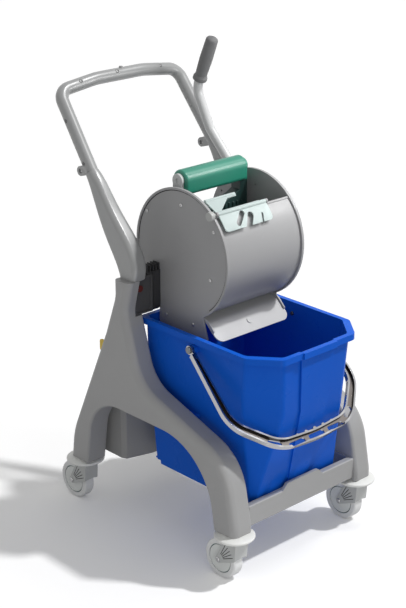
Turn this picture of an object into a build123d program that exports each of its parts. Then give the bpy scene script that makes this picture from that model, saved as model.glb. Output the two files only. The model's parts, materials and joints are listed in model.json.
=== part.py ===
from build123d import *
import os
from math import acos, atan2, cos, degrees, pi, radians, sin, sqrt, tan

# Single mop bucket trolley. X is across the trolley, Y along it with the push handle at +Y, Z up.
# The origin is on the floor, in the middle of the overall length and width. Sizes are in mm.

# Side frames: the inner face sets the width of everything between and under them
frame_inner_x = 163.0
frame_foot_t = 54.0
frame_neck_t = 41.0
foot_z = 117.0
neck_z = 595.0
neck_front_y = 33.0
neck_rear_y = 82.0
leg_front_y = -291.0
leg_rear_y = 249.0
front_leg_inner_y = -228.0
rear_leg_inner_y = 190.0
arch_z = 291.0
waist_back = 19.0
waist_drop = 74.0
waist_r = 60.0
belly_out = 27.0
belly_drop = 225.0
belly_r = 90.0
brow_back = 29.0
brow_drop = 314.0
brow_r = 120.0
toe_h = 18.0
toe_r = 60.0
front_leg_lean = 27.0
front_arch_r = 155.0
rear_leg_lean = 24.0
rear_arch_r = 100.0
heel_lean = 8.0
heel_h = 68.0
heel_r = 200.0
hip_back = 33.0
hip_drop = 130.0
hip_r = 200.0
nape_h = 40.0
nape_r = 60.0
front_outer_round = 17.0
front_inner_round = 8.0
rear_round = 9.0
arch_round = 5.0
edge_slack = 1.0

# Casters
stem_x = frame_inner_x + 27.0
stem_front_y = -265.0
stem_rear_y = 231.0
wheel_d = 90.0
wheel_w = 26.0
wheel_trail = 31.0
tyre_t = 12.0
tyre_shoulder = 4.0
wheel_hub_r = 10.0
wheel_hub_proud = 0.8
wheel_face_in = 0.6
wheel_groove_w = 2.2
wheel_groove_depth = 2.5
axle_d = 8.0
axle_head_d = 11.0
axle_head_h = 3.0
axle_head_bevel = 1.0
stem_d = 12.0
stem_len = 40.0
stem_bush_t = 3.0
fork_arm_t = 4.0
fork_gap = 1.5
fork_crown_t = 4.0
fork_crown_d = 44.0
fork_crown_r = 8.0
fork_crown_gap = 0.3
fork_web_t = 3.0
fork_top_front = 22.0
fork_top_rear = 10.0
fork_toe_out = 16.0
fork_toe_rise = 15.0
fork_toe_r = 3.0
fork_boss_d = 16.0
fork_groove_w = 1.6
fork_groove_depth = 1.2
fork_grooves = 5
fork_groove_r = 33.0
fork_groove_len = 32.0
fork_groove_start = 117.0
fork_groove_sweep = 38.0
bumper_d = 88.0
bumper_top_d = 58.0
bumper_base_d = 70.0
bumper_h = 15.0
bumper_lip_z = 9.0
bumper_lip_r = 3.0
bumper_hole_gap = 0.5

# Push handle
handle_tube_d = 28.5
handle_bar_y = 308.0
handle_bar_z = 956.0
handle_bar_rise = 13.0
handle_bar_half = frame_inner_x + 9.0
handle_corner_r = 30.0
handle_bar_bend_x = 0.4 * handle_bar_half
handle_bar_bend_r = 200.0
handle_screw_x = (-118.0, -14.0, 114.0)
handle_screw_heights = (0.11, 0.64)
screw_seat_depth = 1.8
handle_root_x = frame_inner_x + 17.5
handle_root_y = 190.0
handle_root_z = 802.0
shoe_collar = 0.8
shoe_round = 12.0
shoe_front_in = 2.0
shoe_end_share = 0.495
# Sections up the shoe: share of its height, y, width, depth, lean in degrees
shoe_levels = (
    (0.24, 72.5, 39.0, 66.0, 20.0),
    (0.51, 117.0, 36.0, 56.0, 37.0),
    (0.78, 156.0, 32.0, 42.0, 37.5),
)
lug_t = 12.0
lug_r = 11.0
lug_hole_d = 10.0
lug_out = 36.0
lug_in = 2.0
lug_drop = 5.0
lug_root_back = 4.0
lug_root_rise = 5.0

# Front crossbar
crossbar_front_y = -281.0
crossbar_base_z = 125.0
crossbar_top_z = 172.0
crossbar_wall = 4.0
crossbar_flange = 14.0
crossbar_round = 3.5
shelf_rear_y = -225.0
tab_base_w = 124.0
tab_top_w = 96.0
tab_h = 14.0
tab_t = 7.0
tab_round = 8.0
crossbar_end_t = 5.0

# Rear bin
bin_half = frame_inner_x - 13.0
bin_front_y = 119.0
bin_rear_y = 223.0
bin_base_z = 123.0
bin_top_z = 300.0
bin_wall = 3.0
bin_face_half = 0.53 * bin_half
bin_cheek_y = 17.0
bin_cheek_x = 6.0
bin_side_y = 30.0
bin_edge_r = 4.0
bin_rear_r = 12.0
bin_ear_y = 170.0
bin_ear_z = 271.0
bin_ear_w = 34.0
bin_ear_h = 26.0

# Bucket: half width, front, rear, corner cut across and along, panel half width, corner radius
bucket_half = frame_inner_x - 13.0
bucket_base_z = 142.0
bucket_crease_z = 363.0
bucket_rim_z = 499.0
bucket_wall = 3.5
bucket_base = (bucket_half - 22.0, -253.0, 57.0, 4.0, 4.0, 28.0, 4.0)
bucket_crease = (bucket_half - 3.0, -304.0, 60.5, 55.0, 64.0, 42.0, 18.0)
bucket_mouth = (bucket_half, -311.0, 62.0, 50.0, 60.0, 50.0, 18.0)
bucket_rear_cut = 9.0
bucket_rear_r = 6.0
panel_proud = 4.0
heel_notch_y = 37.0
heel_notch_h = 9.0
rim_reach = 8.0
rim_h = 14.0
rim_t = 3.5
rib_t = 6.0
rib_half_x = frame_inner_x - 3.0
rib_inset = 5.0

# Bucket runners
runner_z = 311.0
runner_h = 12.0
runner_bevel = 0.6 * runner_h
runner_inner_x = frame_inner_x - 12.0
runner_front_y = -112.0
runner_rear_y = 53.0

# Bail: its reach clears the bucket's front by the stand-off
bail_pivot_y = -100.5
bail_pivot_z = 472.0
bail_pivot_x = bucket_half + 14.0
bail_drop = 38.5
bail_stand_off = 12.0
bail_shoulder_out = 22.0
bail_shoulder_at = 0.68
bail_corner_in = 60.0
bail_corner_sag = 7.0
bail_root_half = 6.0
bail_arm_half = 10.0
bail_front_half = 11.5
bail_root_mitre = (1.0, -0.1)
bail_shoulder_mitre = (1.02, 0.35)
bail_corner_mitre = (0.44, 0.97)
bail_shoulder_r = 70.0
bail_corner_r = 90.0
bail_front_r = 400.0
bail_h = 11.0
bail_rail_t = 4.0
bail_groove_depth = 7.0
bail_slots = 3
bail_slot_w = 12.0
bail_slot_len = 46.0
bail_slot_pitch = 58.5
bail_slot_r = 5.0
bail_end_slot_len = 34.0
bail_end_slot_out = 8.0
bail_end_slot_sag = 18.5
bail_end_slot_turn = 31.0
bail_bumps = 5
bail_bump_pitch = 26.0
bail_bump_r = 5.0
bail_pin_d = 9.0
bail_pin_head_d = 15.0
bail_pin_head_h = 3.0
bail_pin_gap = 0.4
bail_eye_d = 20.0
bail_eye_t = 6.5
bail_boss_d = 22.0
bail_boss_x = bucket_half + 10.0
bail_boss_gap = 2.0

# Wringer drum: other wringer sizes are measured from its axis
drum_y = -18.0
drum_z = 653.0
drum_r = 143.0
drum_wall_r = drum_r - 4.0
drum_wall_t = 3.0
drum_side_gap = 51.0
drum_half_x = frame_inner_x - drum_side_gap
drum_plate_t = 4.0
plate_in_x = drum_half_x - drum_plate_t
drum_rear_drop = 30.0
drum_rear_low_r = 45.0
drum_tail_drop = 43.0
drum_tail_in = 14.0
drum_foot_drop = 188.0
drum_foot_front = 84.0
drum_foot_rear = 72.0
drum_foot_r = 8.0
drum_notch = 66.0
bead_w = 5.0
bead_h = 2.5
bead_drop = 113.0
wall_top_angle = 134.0
wall_low_angle = 239.0
wall_lip_r = 3.5
rim_screw_angles = (33.0, 90.0, 144.4, 202.6)
rim_screw_insets = (14.3, 36.0, 21.2, 46.6)
foot_screw_rise = 37.0
foot_screws_y = (49.0, -36.0)

# Squeeze plate
squeeze_y = drum_y - 61.5
squeeze_t = 5.0
squeeze_low = 58.0
squeeze_side = 75.0
squeeze_top = 82.0
squeeze_rib_h = 3.0
squeeze_rib_w = 4.0
squeeze_rib_pitch = 12.0
squeeze_rib_inset = 6.0

# Drip tray
tray_t = 3.0
tray_gap = 0.3
tray_rear = (70.0, -86.0)
tray_break = (-74.0, -138.0)
tray_lip = (-110.0, -174.0)
tray_lip_r = 18.0
tray_bend_r = 25.0
tray_wall_h = 5.0
tray_wall_t = 3.0
tray_wall_end = 0.55
tray_boss_d = 13.0
tray_boss_h = 1.5

# Hangers and wringer brackets
hanger_t = 20.0
hanger_front_y = 50.0
hanger_rear_y = 84.0
hanger_low = 89.0
hanger_end_share = 0.47
hanger_tab_in = 6.0
hanger_tab_rise = 9.0
hanger_key_w = 12.0
hanger_key_low = 70.0
hanger_gap = 2.0
hook_gap = 0.3
hook_t = 5.0
hook_h = 20.0
hook_lap = 5.0
hook_teeth = 5
hook_tooth_t = 3.0
hook_tooth_y = 20.0
bracket_h = 85.0
bracket_tongue_x = 22.0
bracket_tongue_y = 16.0
bracket_border = 5.0
bracket_recess = 3.0
bracket_round = 2.0
key_depth = 9.0
key_clearance = 0.4
plug_d = 15.0
plug_h = 3.0
plug_out = 6.0
plug_drop = 26.0
plug_round = 1.0

# Lever press drive
shaft_d = 16.0
shaft_clearance = 0.06
gear_module = 3.0
gear_teeth = 19
gear_w = 5.7
gear_dedendum = 1.25
gear_backlash = 0.9
pressure_angle = 20.0
bush_flange_d = 32.0
bush_flange_t = 3.0
bush_t = 4.0
blind_bush_t = 4.4
blind_bush_floor = 0.4
shaft_end_gap = 0.2
lever_x = frame_inner_x - 13.0
lever_d = 22.0
lever_hub_d = 44.0
lever_hub_w = 24.0
lever_bend = (190.0, 190.0)
lever_bend_r = 60.0
lever_knee_r = 45.0
lever_knee_gap = 24.0
lever_tip_depth = 70.0
lever_socket_t = 3.0
lever_socket_len = 48.0
grip_d = 29.0
grip_collar_d = 33.0
grip_collar_h = 8.0
grip_waist_z = 14.0
grip_dome = 2.0
grip_waist_in = 1.0
grip_waist_r = 3.0
grip_swell = 0.5
grip_swell_r = 60.0
grip_edge_r = 2.0
grip_tip_r = 7.0
grip_low = (224.6, 296.7)
grip_top = (181.0, 399.0)

# Press jaw
rack_side_gap = 5.0
rack_out_x = plate_in_x - rack_side_gap
gear_inner_x = rack_out_x - gear_w
cap_gap = 0.3
cap_t = 7.0
cap_x = gear_inner_x - cap_gap
jaw_half_x = cap_x - cap_t
jaw_y = drum_y + 29.0
jaw_bar_d = 45.0
jaw_bar_z = drum_z + 150.0
jaw_bar_drop = 30.0
jaw_bar_low_r = 9.0
jaw_end_round = 6.0
jaw_low_z = drum_z + 33.0
jaw_plate_t = 28.0
jaw_arm_w = 15.0
jaw_horn_z = drum_z + 100.0
jaw_dip_z = drum_z + 79.0
jaw_rib_inset = 2.0
jaw_rib_pitch = 12.0
jaw_rib_h = 2.5
cap_inset = 7.0
cap_dimple_d = 11.0
cap_dimple_depth = 3.0
rack_front = 11.0
rack_rear = 64.0
rack_top = 46.0
rack_flange_t = 3.0
rack_flange_low = 34.0
rack_flange_top = 42.0
rack_end_gap = 3.0
rack_backlash = 0.1
rack_guide_gap = 0.5
guide_gap = 0.4
guide_lip = 5.0
guide_front = 57.0
guide_rear = 70.0

# Mop flap: a sheet on a rod along the drum wall's top edge, with a wing that reaches inside
flap_r = drum_r + 4.0
flap_rod_angle = 133.0
flap_rod_d = 5.0
flap_sweep = 16.5
flap_t = 2.5
flap_hub_d = 10.0
flap_right_x = 35.0
flap_corner_r = 9.0
flap_ear_w = 4.0
flap_ear_gap = 0.5
flap_ear_t = 3.0
flap_knob_d = 19.0
flap_knob_w = 12.0
flap_knob_gap = 2.0
flap_knob_r = 2.0
flap_wing_back = 38.0
flap_wing_rise = 19.0
flap_wing_right_x = 22.0
flap_wing_roll_r = 3.5
flap_slot = (-51.0, 0.0, 28.0, 12.0, 44.0)
flap_gap = (-30.0, -12.0, 30.0, 15.0, 57.0)
flap_slit = (6.0, -16.0, 28.0, 4.5, 70.0)

# Small pieces
screw_d = 9.0
screw_h = 2.2
screw_shank_d = 4.0
screw_shank_len = 9.0
clip_x = frame_inner_x + 42.0
clip_z = 423.0
clip_h = 25.0
clip_t = 6.0
clip_reach = 12.0
clip_depth = 9.0
fit = 0.2


def side(x, y=0):
    """Plane across the trolley at x, with sketch axes along Y (from y) and Z."""
    return Plane(origin=(x, y, 0), x_dir=(0, 1, 0), z_dir=(1, 0, 0))


def facing(y):
    """Plane at y that faces the front, with sketch axes along X and Z."""
    return Plane(origin=(0, y, 0), x_dir=(1, 0, 0), z_dir=(0, -1, 0))


def keep(builder, name):
    """Label a finished piece and write it to its own file."""
    builder.part.label = name
    export_step(builder.part, f"parts/{name}.step")


def rounded(points, radii):
    """Closed outline through the corner points, each rounded to its own radius."""
    with BuildLine() as line:
        FilletPolyline(*points, radius=radii, close=True)
    return line.edges()


def rod(x0, x1, y, z, d, mode=Mode.ADD):
    """Round bar along X from x0 to x1 in the current piece."""
    with Locations(((x0 + x1) / 2, y, z)):
        Cylinder(d / 2, abs(x1 - x0), rotation=(0, 90, 0), mode=mode)


def block(x0, x1, y0, y1, z0, z1, mode=Mode.ADD):
    """Square block between two corners in the current piece."""
    with Locations(((x0 + x1) / 2, (y0 + y1) / 2, (z0 + z1) / 2)):
        Box(abs(x1 - x0), abs(y1 - y0), abs(z1 - z0), mode=mode)


def write_right(left, name):
    """Make the right-hand twin of a left-hand piece."""
    with BuildPart() as right:
        mirror(left.part, about=Plane.YZ)
    keep(right, name)
    return right


os.makedirs("parts", exist_ok=True)
stems = {
    "front_left": (-stem_x, stem_front_y),
    "front_right": (stem_x, stem_front_y),
    "rear_left": (-stem_x, stem_rear_y),
    "rear_right": (stem_x, stem_rear_y),
}

# Side frames: an arched pair of legs that gathers into a neck under the push handle
bush_d = stem_d + 2 * stem_bush_t
bush_len = stem_len - bumper_h
hip = (neck_rear_y + hip_back, neck_z - hip_drop)
heel = (leg_rear_y - heel_lean, foot_z + heel_h)
clip_edge_y = hip[0] + (heel[0] - hip[0]) * (hip[1] - clip_z) / (hip[1] - heel[1])
frame_points = [
    (neck_rear_y, neck_z),
    (neck_front_y, neck_z),
    (neck_front_y + waist_back, neck_z - waist_drop),
    (neck_front_y - belly_out, neck_z - belly_drop),
    (leg_front_y + brow_back, neck_z - brow_drop),
    (leg_front_y, foot_z + toe_h),
    (leg_front_y, foot_z),
    (front_leg_inner_y, foot_z),
    (front_leg_inner_y + front_leg_lean, arch_z),
    (rear_leg_inner_y - rear_leg_lean, arch_z),
    (rear_leg_inner_y, foot_z),
    (leg_rear_y, foot_z),
    heel,
    hip,
    (neck_rear_y, neck_z - nape_h),
]
frame_radii = [0, 0, waist_r, belly_r, brow_r, toe_r, 0, 0, front_arch_r, rear_arch_r, 0, 0]
frame_radii += [heel_r, hip_r, nape_r]
draft_slope = (frame_foot_t - frame_neck_t) / (neck_z - foot_z)
bracket_low_z = neck_z - bracket_h
bracket_out_x = frame_inner_x + bracket_tongue_x
tongue_rear_y = hanger_front_y + bracket_tongue_y


def frame_edges(face):
    """Long edges of a frame's flat face, as those in front, at the rear and round the arch."""
    long_edges = [e for e in face.edges() if foot_z + edge_slack < e.center().Z < neck_z - edge_slack]
    front = []
    rear = []
    arch = []
    for e in long_edges:
        at = e.center()
        between_legs = front_leg_inner_y - edge_slack < at.Y < rear_leg_inner_y + edge_slack
        if between_legs and at.Z < arch_z + edge_slack:
            arch.append(e)
        elif at.Y < (neck_front_y + neck_rear_y) / 2:
            front.append(e)
        else:
            rear.append(e)
    return front, rear, arch


with BuildPart() as frame_shell:
    with BuildSketch(side(-frame_inner_x)):
        make_face(rounded(frame_points, frame_radii))
    extrude(amount=-frame_foot_t)
    draft_origin = (-frame_inner_x - frame_foot_t, 0, foot_z)
    split(bisect_by=Plane(origin=draft_origin, z_dir=(-1, 0, -draft_slope)), keep=Keep.BOTTOM)
    outer_front, outer_rear, outer_arch = frame_edges(frame_shell.faces().sort_by(Axis.X)[0])
    inner_front, inner_rear, inner_arch = frame_edges(frame_shell.faces().sort_by(Axis.X)[-1])
    fillet(outer_front, front_outer_round)
    fillet(inner_front, front_inner_round)
    fillet(outer_rear + inner_rear, rear_round)
    fillet(outer_arch + inner_arch, arch_round)
    for stem_y in (stem_front_y, stem_rear_y):
        with Locations((-stem_x, stem_y, foot_z + bush_len / 2)):
            Cylinder(bush_d / 2 + fit / 2, bush_len, mode=Mode.SUBTRACT)
    block(
        -frame_inner_x,
        -bracket_out_x - fit,
        neck_front_y - belly_out,
        tongue_rear_y + fit,
        bracket_low_z - fit,
        neck_z,
        mode=Mode.SUBTRACT,
    )

with BuildPart() as left_side_frame:
    add(frame_shell.part)
    block(
        -clip_x - clip_t / 2 - fit,
        -clip_x + clip_t / 2 + fit,
        clip_edge_y - clip_depth,
        clip_edge_y + clip_reach,
        clip_z - clip_h / 2 - fit,
        clip_z + clip_h / 2 + fit,
        mode=Mode.SUBTRACT,
    )
keep(left_side_frame, "left_side_frame")
write_right(frame_shell, "right_side_frame")

with BuildPart() as stem_bushes:
    for x, y in stems.values():
        with Locations((x, y, foot_z + bush_len / 2)):
            Cylinder(bush_d / 2, bush_len)
            Cylinder(stem_d / 2 + shaft_clearance, bush_len, mode=Mode.SUBTRACT)
keep(stem_bushes, "stem_bushes")

with BuildPart() as frame_clip:
    block(
        -clip_x - clip_t / 2,
        -clip_x + clip_t / 2,
        clip_edge_y - clip_depth + fit,
        clip_edge_y + clip_reach,
        clip_z - clip_h / 2,
        clip_z + clip_h / 2,
    )
    fillet(frame_clip.edges().filter_by(Axis.X).group_by(Axis.Y)[-1], clip_t / 2)
keep(frame_clip, "frame_clip")

# Casters: a bumper disc under each leg, a swivel fork with a stem, an axle, a wheel and its tyre
crown_top_z = foot_z - bumper_h - fork_crown_gap
arm_in = wheel_w / 2 + fork_gap
arm_out = arm_in + fork_arm_t
wheel_r = wheel_d / 2


def make_bumper(name, x, y):
    """Round bumper disc with a sloped top and a full lip, under a leg."""
    base_z = foot_z - bumper_h
    hole_r = stem_d / 2 + bumper_hole_gap
    section = [
        (hole_r, base_z),
        (bumper_base_d / 2, base_z),
        (bumper_d / 2, base_z + bumper_lip_z / 2),
        (bumper_d / 2, base_z + bumper_lip_z),
        (bumper_top_d / 2, foot_z),
        (hole_r, foot_z),
    ]
    with BuildPart() as bumper:
        with BuildSketch(Plane(origin=(x, y, 0), x_dir=(1, 0, 0), z_dir=(0, -1, 0))):
            make_face(rounded(section, [0, 0, bumper_lip_r, bumper_lip_r, 0, 0]))
        revolve(axis=Axis((x, y, 0), (0, 0, 1)))
    keep(bumper, f"{name}_bumper")


def make_fork(name, x, y):
    """Swivel fork: crown, front web and two fan-shaped grooved arms, with its stem."""
    toe_z = wheel_r + fork_toe_rise
    crown_low_z = crown_top_z - fork_crown_t
    web = [
        (-fork_toe_out - fork_toe_r, toe_z),
        (-fork_top_front, crown_low_z),
        (-fork_top_front + fork_web_t, crown_low_z),
        (-fork_toe_out - fork_toe_r + fork_web_t, toe_z),
    ]
    with BuildPart() as fork:
        with BuildSketch(Plane(origin=(x, y, crown_low_z))):
            RectangleRounded(2 * arm_out, fork_crown_d, fork_crown_r)
        extrude(amount=fork_crown_t)
        for arm_x in (-arm_out, arm_in):
            with BuildSketch(side(x + arm_x, y)):
                with Locations((wheel_trail, wheel_r)):
                    Circle(fork_boss_d / 2)
                with Locations((-fork_toe_out, toe_z)):
                    Circle(fork_toe_r)
                with Locations(((fork_top_rear - fork_top_front) / 2, crown_low_z + fork_crown_t / 2)):
                    Rectangle(fork_top_rear + fork_top_front, fork_crown_t)
                make_hull()
            extrude(amount=fork_arm_t)
        with BuildSketch(side(x - arm_in, y)):
            with BuildLine():
                Polyline(*web, close=True)
            make_face()
        extrude(amount=2 * arm_in)
        for face_x, depth in ((-arm_out, fork_groove_depth), (arm_out, -fork_groove_depth)):
            with BuildSketch(side(x + face_x, y)):
                with Locations((wheel_trail, wheel_r)):
                    with PolarLocations(
                        fork_groove_r, fork_grooves, fork_groove_start, fork_groove_sweep, endpoint=True
                    ):
                        SlotOverall(fork_groove_len, fork_groove_w)
            extrude(amount=depth, mode=Mode.SUBTRACT)
        rod(x - arm_out, x + arm_out, y + wheel_trail, wheel_r, axle_d + fit, mode=Mode.SUBTRACT)
        with Locations((x, y, crown_top_z + stem_len / 2)):
            Cylinder(stem_d / 2, stem_len)
    keep(fork, f"{name}_fork")


def make_axle(name, x, y):
    """Axle bolt with a round head at each arm."""
    with BuildPart() as axle:
        rod(x - arm_out, x + arm_out, y + wheel_trail, wheel_r, axle_d)
        for s in (-1, 1):
            rod(x + s * arm_out, x + s * (arm_out + axle_head_h), y + wheel_trail, wheel_r, axle_head_d)
        rings = axle.edges().filter_by(GeomType.CIRCLE).group_by(Axis.X)
        chamfer(rings[0] + rings[-1], axle_head_bevel)
    keep(axle, f"{name}_axle")


def make_wheel(name, x, y):
    """Wheel centre with a proud hub and a ring groove at its rim, and the tyre round it."""
    section_plane = Plane(origin=(x, y + wheel_trail, wheel_r), x_dir=(1, 0, 0), z_dir=(0, -1, 0))
    spin_axis = Axis((x, y + wheel_trail, wheel_r), (1, 0, 0))
    rim_r = wheel_r - tyre_t
    half = wheel_w / 2
    face = half - wheel_face_in
    right_half = [
        (half + wheel_hub_proud, axle_d / 2 + shaft_clearance),
        (half + wheel_hub_proud, wheel_hub_r),
        (face, wheel_hub_r + wheel_hub_proud),
        (face, rim_r - wheel_groove_w),
        (face - wheel_groove_depth, rim_r - wheel_groove_w),
        (face - wheel_groove_depth, rim_r),
    ]
    section = right_half + [(-across, r) for across, r in reversed(right_half)]
    with BuildPart() as hub:
        with BuildSketch(section_plane):
            with BuildLine():
                Polyline(*section, close=True)
            make_face()
        revolve(axis=spin_axis)
    keep(hub, f"{name}_wheel")
    tread = [(-half, rim_r), (half, rim_r), (half, wheel_r), (-half, wheel_r)]
    with BuildPart() as tyre:
        with BuildSketch(section_plane):
            make_face(rounded(tread, [0, 0, tyre_shoulder, tyre_shoulder]))
        revolve(axis=spin_axis)
    keep(tyre, f"{name}_tyre")


for caster, (x, y) in stems.items():
    make_bumper(caster, x, y)
    make_fork(caster, x, y)
    make_axle(caster, x, y)
    make_wheel(caster, x, y)

# Push handle: a bent tube whose ends widen into shoes that stand on the frame necks
lean = atan2(handle_bar_y - handle_root_y, handle_bar_z - handle_root_z)
tube_r = handle_tube_d / 2
bar_top_z = handle_bar_z + handle_bar_rise
shoe_h = handle_root_z - neck_z
shoe_foot_y = neck_front_y + shoe_front_in
neck_mid_x = frame_inner_x + frame_neck_t / 2
shoe_end = handle_tube_d + 2 * shoe_collar
shoe_foot = (0.0, (shoe_foot_y + neck_rear_y) / 2, frame_neck_t, neck_rear_y - shoe_foot_y, 0.0)
shoe_sections = [(*level, shoe_round) for level in (shoe_foot, *shoe_levels)]
shoe_sections.append((1.0, handle_root_y, shoe_end, shoe_end, degrees(lean), shoe_end_share * shoe_end))


def bar_z(x):
    """Height of the handle bar's centre line at x."""
    run = (handle_bar_half - abs(x)) / (handle_bar_half - handle_bar_bend_x)
    return handle_bar_z + handle_bar_rise * min(1, run)


screw_spots = [((x, handle_bar_y, bar_z(x)), (0, -1, 1)) for x in handle_screw_x]
for height in handle_screw_heights:
    upright_x = handle_root_x + (handle_bar_half - handle_root_x) * height
    upright_y = handle_root_y + (handle_bar_y - handle_root_y) * height
    upright_z = handle_root_z + (handle_bar_z - handle_root_z) * height
    for s in (-1, 1):
        screw_spots.append(((s * upright_x, upright_y, upright_z), (s, 0, 0)))
screw_seat_r = tube_r - screw_seat_depth

with BuildPart() as handle_shoe:
    shoe_faces = []
    for share, y, across, along, tilt, corner_r in shoe_sections:
        x = neck_mid_x + (handle_root_x - neck_mid_x) * share
        up = (0, sin(radians(tilt)), cos(radians(tilt)))
        with BuildSketch(Plane(origin=(-x, y, neck_z + shoe_h * share), x_dir=(1, 0, 0), z_dir=up)) as level:
            RectangleRounded(across, along, corner_r)
        shoe_faces.append(level.sketch.faces()[0])
    loft(shoe_faces)

with BuildPart() as push_handle:
    with BuildLine() as handle_line:
        FilletPolyline(
            (-handle_root_x, handle_root_y, handle_root_z),
            (-handle_bar_half, handle_bar_y, handle_bar_z),
            (-handle_bar_bend_x, handle_bar_y, bar_top_z),
            (handle_bar_bend_x, handle_bar_y, bar_top_z),
            (handle_bar_half, handle_bar_y, handle_bar_z),
            (handle_root_x, handle_root_y, handle_root_z),
            radius=[handle_corner_r, handle_bar_bend_r, handle_bar_bend_r, handle_corner_r],
        )
    with BuildSketch(Plane(origin=handle_line.line @ 0, z_dir=handle_line.line % 0)):
        Circle(tube_r)
    sweep(path=handle_line.line)
    add(handle_shoe.part)
    mirror(handle_shoe.part, about=Plane.YZ)
    lug_y = handle_root_y + lug_out
    lug_z = handle_root_z - lug_drop
    for s in (-1, 1):
        lug_x = s * (handle_root_x - lug_in) - lug_t / 2
        with BuildSketch(side(lug_x)):
            with Locations((lug_y, lug_z), (handle_root_y + lug_root_back, handle_root_z + lug_root_rise)):
                Circle(lug_r)
            make_hull()
        extrude(amount=lug_t)
        rod(lug_x, lug_x + lug_t, lug_y, lug_z, lug_hole_d, mode=Mode.SUBTRACT)
    for spot, outward in screw_spots:
        with BuildSketch(Plane(origin=spot, z_dir=outward).offset(screw_seat_r)):
            Circle(screw_d / 2 + fit)
        extrude(amount=screw_d, mode=Mode.SUBTRACT)
        with BuildSketch(Plane(origin=spot, z_dir=outward).offset(screw_seat_r)):
            Circle(screw_shank_d / 2 + fit / 2)
        extrude(amount=-screw_shank_len, mode=Mode.SUBTRACT)
keep(push_handle, "push_handle")

with BuildPart() as handle_screws:
    for spot, outward in screw_spots:
        seat = Plane(origin=spot, z_dir=outward).offset(screw_seat_r)
        with BuildSketch(seat):
            Circle(screw_d / 2)
        extrude(amount=screw_h)
        with BuildSketch(seat):
            Circle(screw_shank_d / 2)
        extrude(amount=-screw_shank_len)
keep(handle_screws, "handle_screws")

# Front crossbar: a flanged beam between the front legs, with a shelf under the bucket
crossbar_section = [
    (crossbar_front_y, crossbar_base_z),
    (crossbar_front_y + crossbar_wall, crossbar_base_z),
    (crossbar_front_y + crossbar_wall, bucket_base_z - crossbar_wall),
    (shelf_rear_y, bucket_base_z - crossbar_wall),
    (shelf_rear_y, bucket_base_z),
    (crossbar_front_y + crossbar_wall, bucket_base_z),
    (crossbar_front_y + crossbar_wall, crossbar_top_z - crossbar_wall),
    (crossbar_front_y + crossbar_flange, crossbar_top_z - crossbar_wall),
    (crossbar_front_y + crossbar_flange, crossbar_top_z),
    (crossbar_front_y, crossbar_top_z),
]
tab_points = [
    (-tab_base_w / 2, -crossbar_wall),
    (-tab_base_w / 2, 0),
    (-tab_top_w / 2, tab_h),
    (tab_top_w / 2, tab_h),
    (tab_base_w / 2, 0),
    (tab_base_w / 2, -crossbar_wall),
]
with BuildPart() as front_crossbar:
    with BuildSketch(side(-frame_inner_x)):
        make_face(rounded(crossbar_section, [0, 0, 0, 0, 0, 0, 0, 0, 0, crossbar_round]))
    extrude(amount=2 * frame_inner_x)
    for s in (-1, 1):
        block(
            s * frame_inner_x,
            s * (frame_inner_x - crossbar_end_t),
            crossbar_front_y + crossbar_round,
            shelf_rear_y,
            crossbar_base_z,
            crossbar_top_z,
        )
    tab_plane = Plane(
        origin=(0, crossbar_front_y + tab_t, crossbar_top_z), x_dir=(1, 0, 0), z_dir=(0, -1, 0)
    )
    with BuildSketch(tab_plane):
        make_face(rounded(tab_points, [0, 0, tab_round, tab_round, 0, 0]))
    extrude(amount=tab_t)
keep(front_crossbar, "front_crossbar")

# Rear bin: an open box between the rear legs with faceted front corners and ears on the frames
bin_points = [
    (-bin_half, bin_front_y + bin_side_y),
    (-bin_half + bin_cheek_x, bin_front_y + bin_cheek_y),
    (-bin_face_half, bin_front_y),
    (bin_face_half, bin_front_y),
    (bin_half - bin_cheek_x, bin_front_y + bin_cheek_y),
    (bin_half, bin_front_y + bin_side_y),
    (bin_half, bin_rear_y),
    (-bin_half, bin_rear_y),
]
with BuildPart() as rear_bin:
    with BuildSketch(Plane.XY.offset(bin_base_z)):
        make_face(rounded(bin_points, [bin_edge_r] * 6 + [bin_rear_r] * 2))
    extrude(amount=bin_top_z - bin_base_z)
    offset(amount=-bin_wall, openings=rear_bin.faces().sort_by(Axis.Z)[-1])
    for s in (-1, 1):
        block(
            s * (bin_half - bin_wall / 2),
            s * frame_inner_x,
            bin_ear_y - bin_ear_w / 2,
            bin_ear_y + bin_ear_w / 2,
            bin_ear_z - bin_ear_h / 2,
            bin_ear_z + bin_ear_h / 2,
        )
keep(rear_bin, "rear_bin")

# Bucket runners: ledges on the frames that carry the bucket's side ribs
with BuildPart() as left_bucket_runner:
    block(-frame_inner_x, -runner_inner_x, runner_front_y, runner_rear_y, runner_z - runner_h, runner_z)
    low_edges = left_bucket_runner.edges().filter_by(Axis.Y).group_by(Axis.Z)[0]
    chamfer(low_edges.sort_by(Axis.X)[-1], runner_bevel)
keep(left_bucket_runner, "left_bucket_runner")
write_right(left_bucket_runner, "right_bucket_runner")


# Bucket: ruled walls from a square foot to a mouth with cut front corners
def bucket_outline(section, inset):
    """Plan of the bucket at one height, drawn in by inset."""
    half, front, rear, cut_x, cut_y, panel, corner_r = section
    half = half - inset
    front = front + inset
    rear = rear - inset
    cut = bucket_rear_cut
    panel_front = front - panel_proud
    points = [
        (-half, rear - cut),
        (-half + cut, rear),
        (half - cut, rear),
        (half, rear - cut),
        (half, front + cut_y),
        (half - cut_x, front),
        (panel, front),
        (panel, panel_front),
        (-panel, panel_front),
        (-panel, front),
        (cut_x - half, front),
        (-half, front + cut_y),
    ]
    radii = [bucket_rear_r] * 4 + [corner_r, corner_r, 0, 0, 0, 0, corner_r, corner_r]
    return rounded(points, radii)


def bucket_loft(levels, inset, mode):
    """Ruled solid through bucket plans at the given heights."""
    faces = []
    for z, section in levels:
        with BuildSketch(Plane.XY.offset(z)) as plan:
            make_face(bucket_outline(section, inset))
        faces.append(plan.sketch.faces()[0])
    loft(faces, ruled=True, mode=mode)


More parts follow.
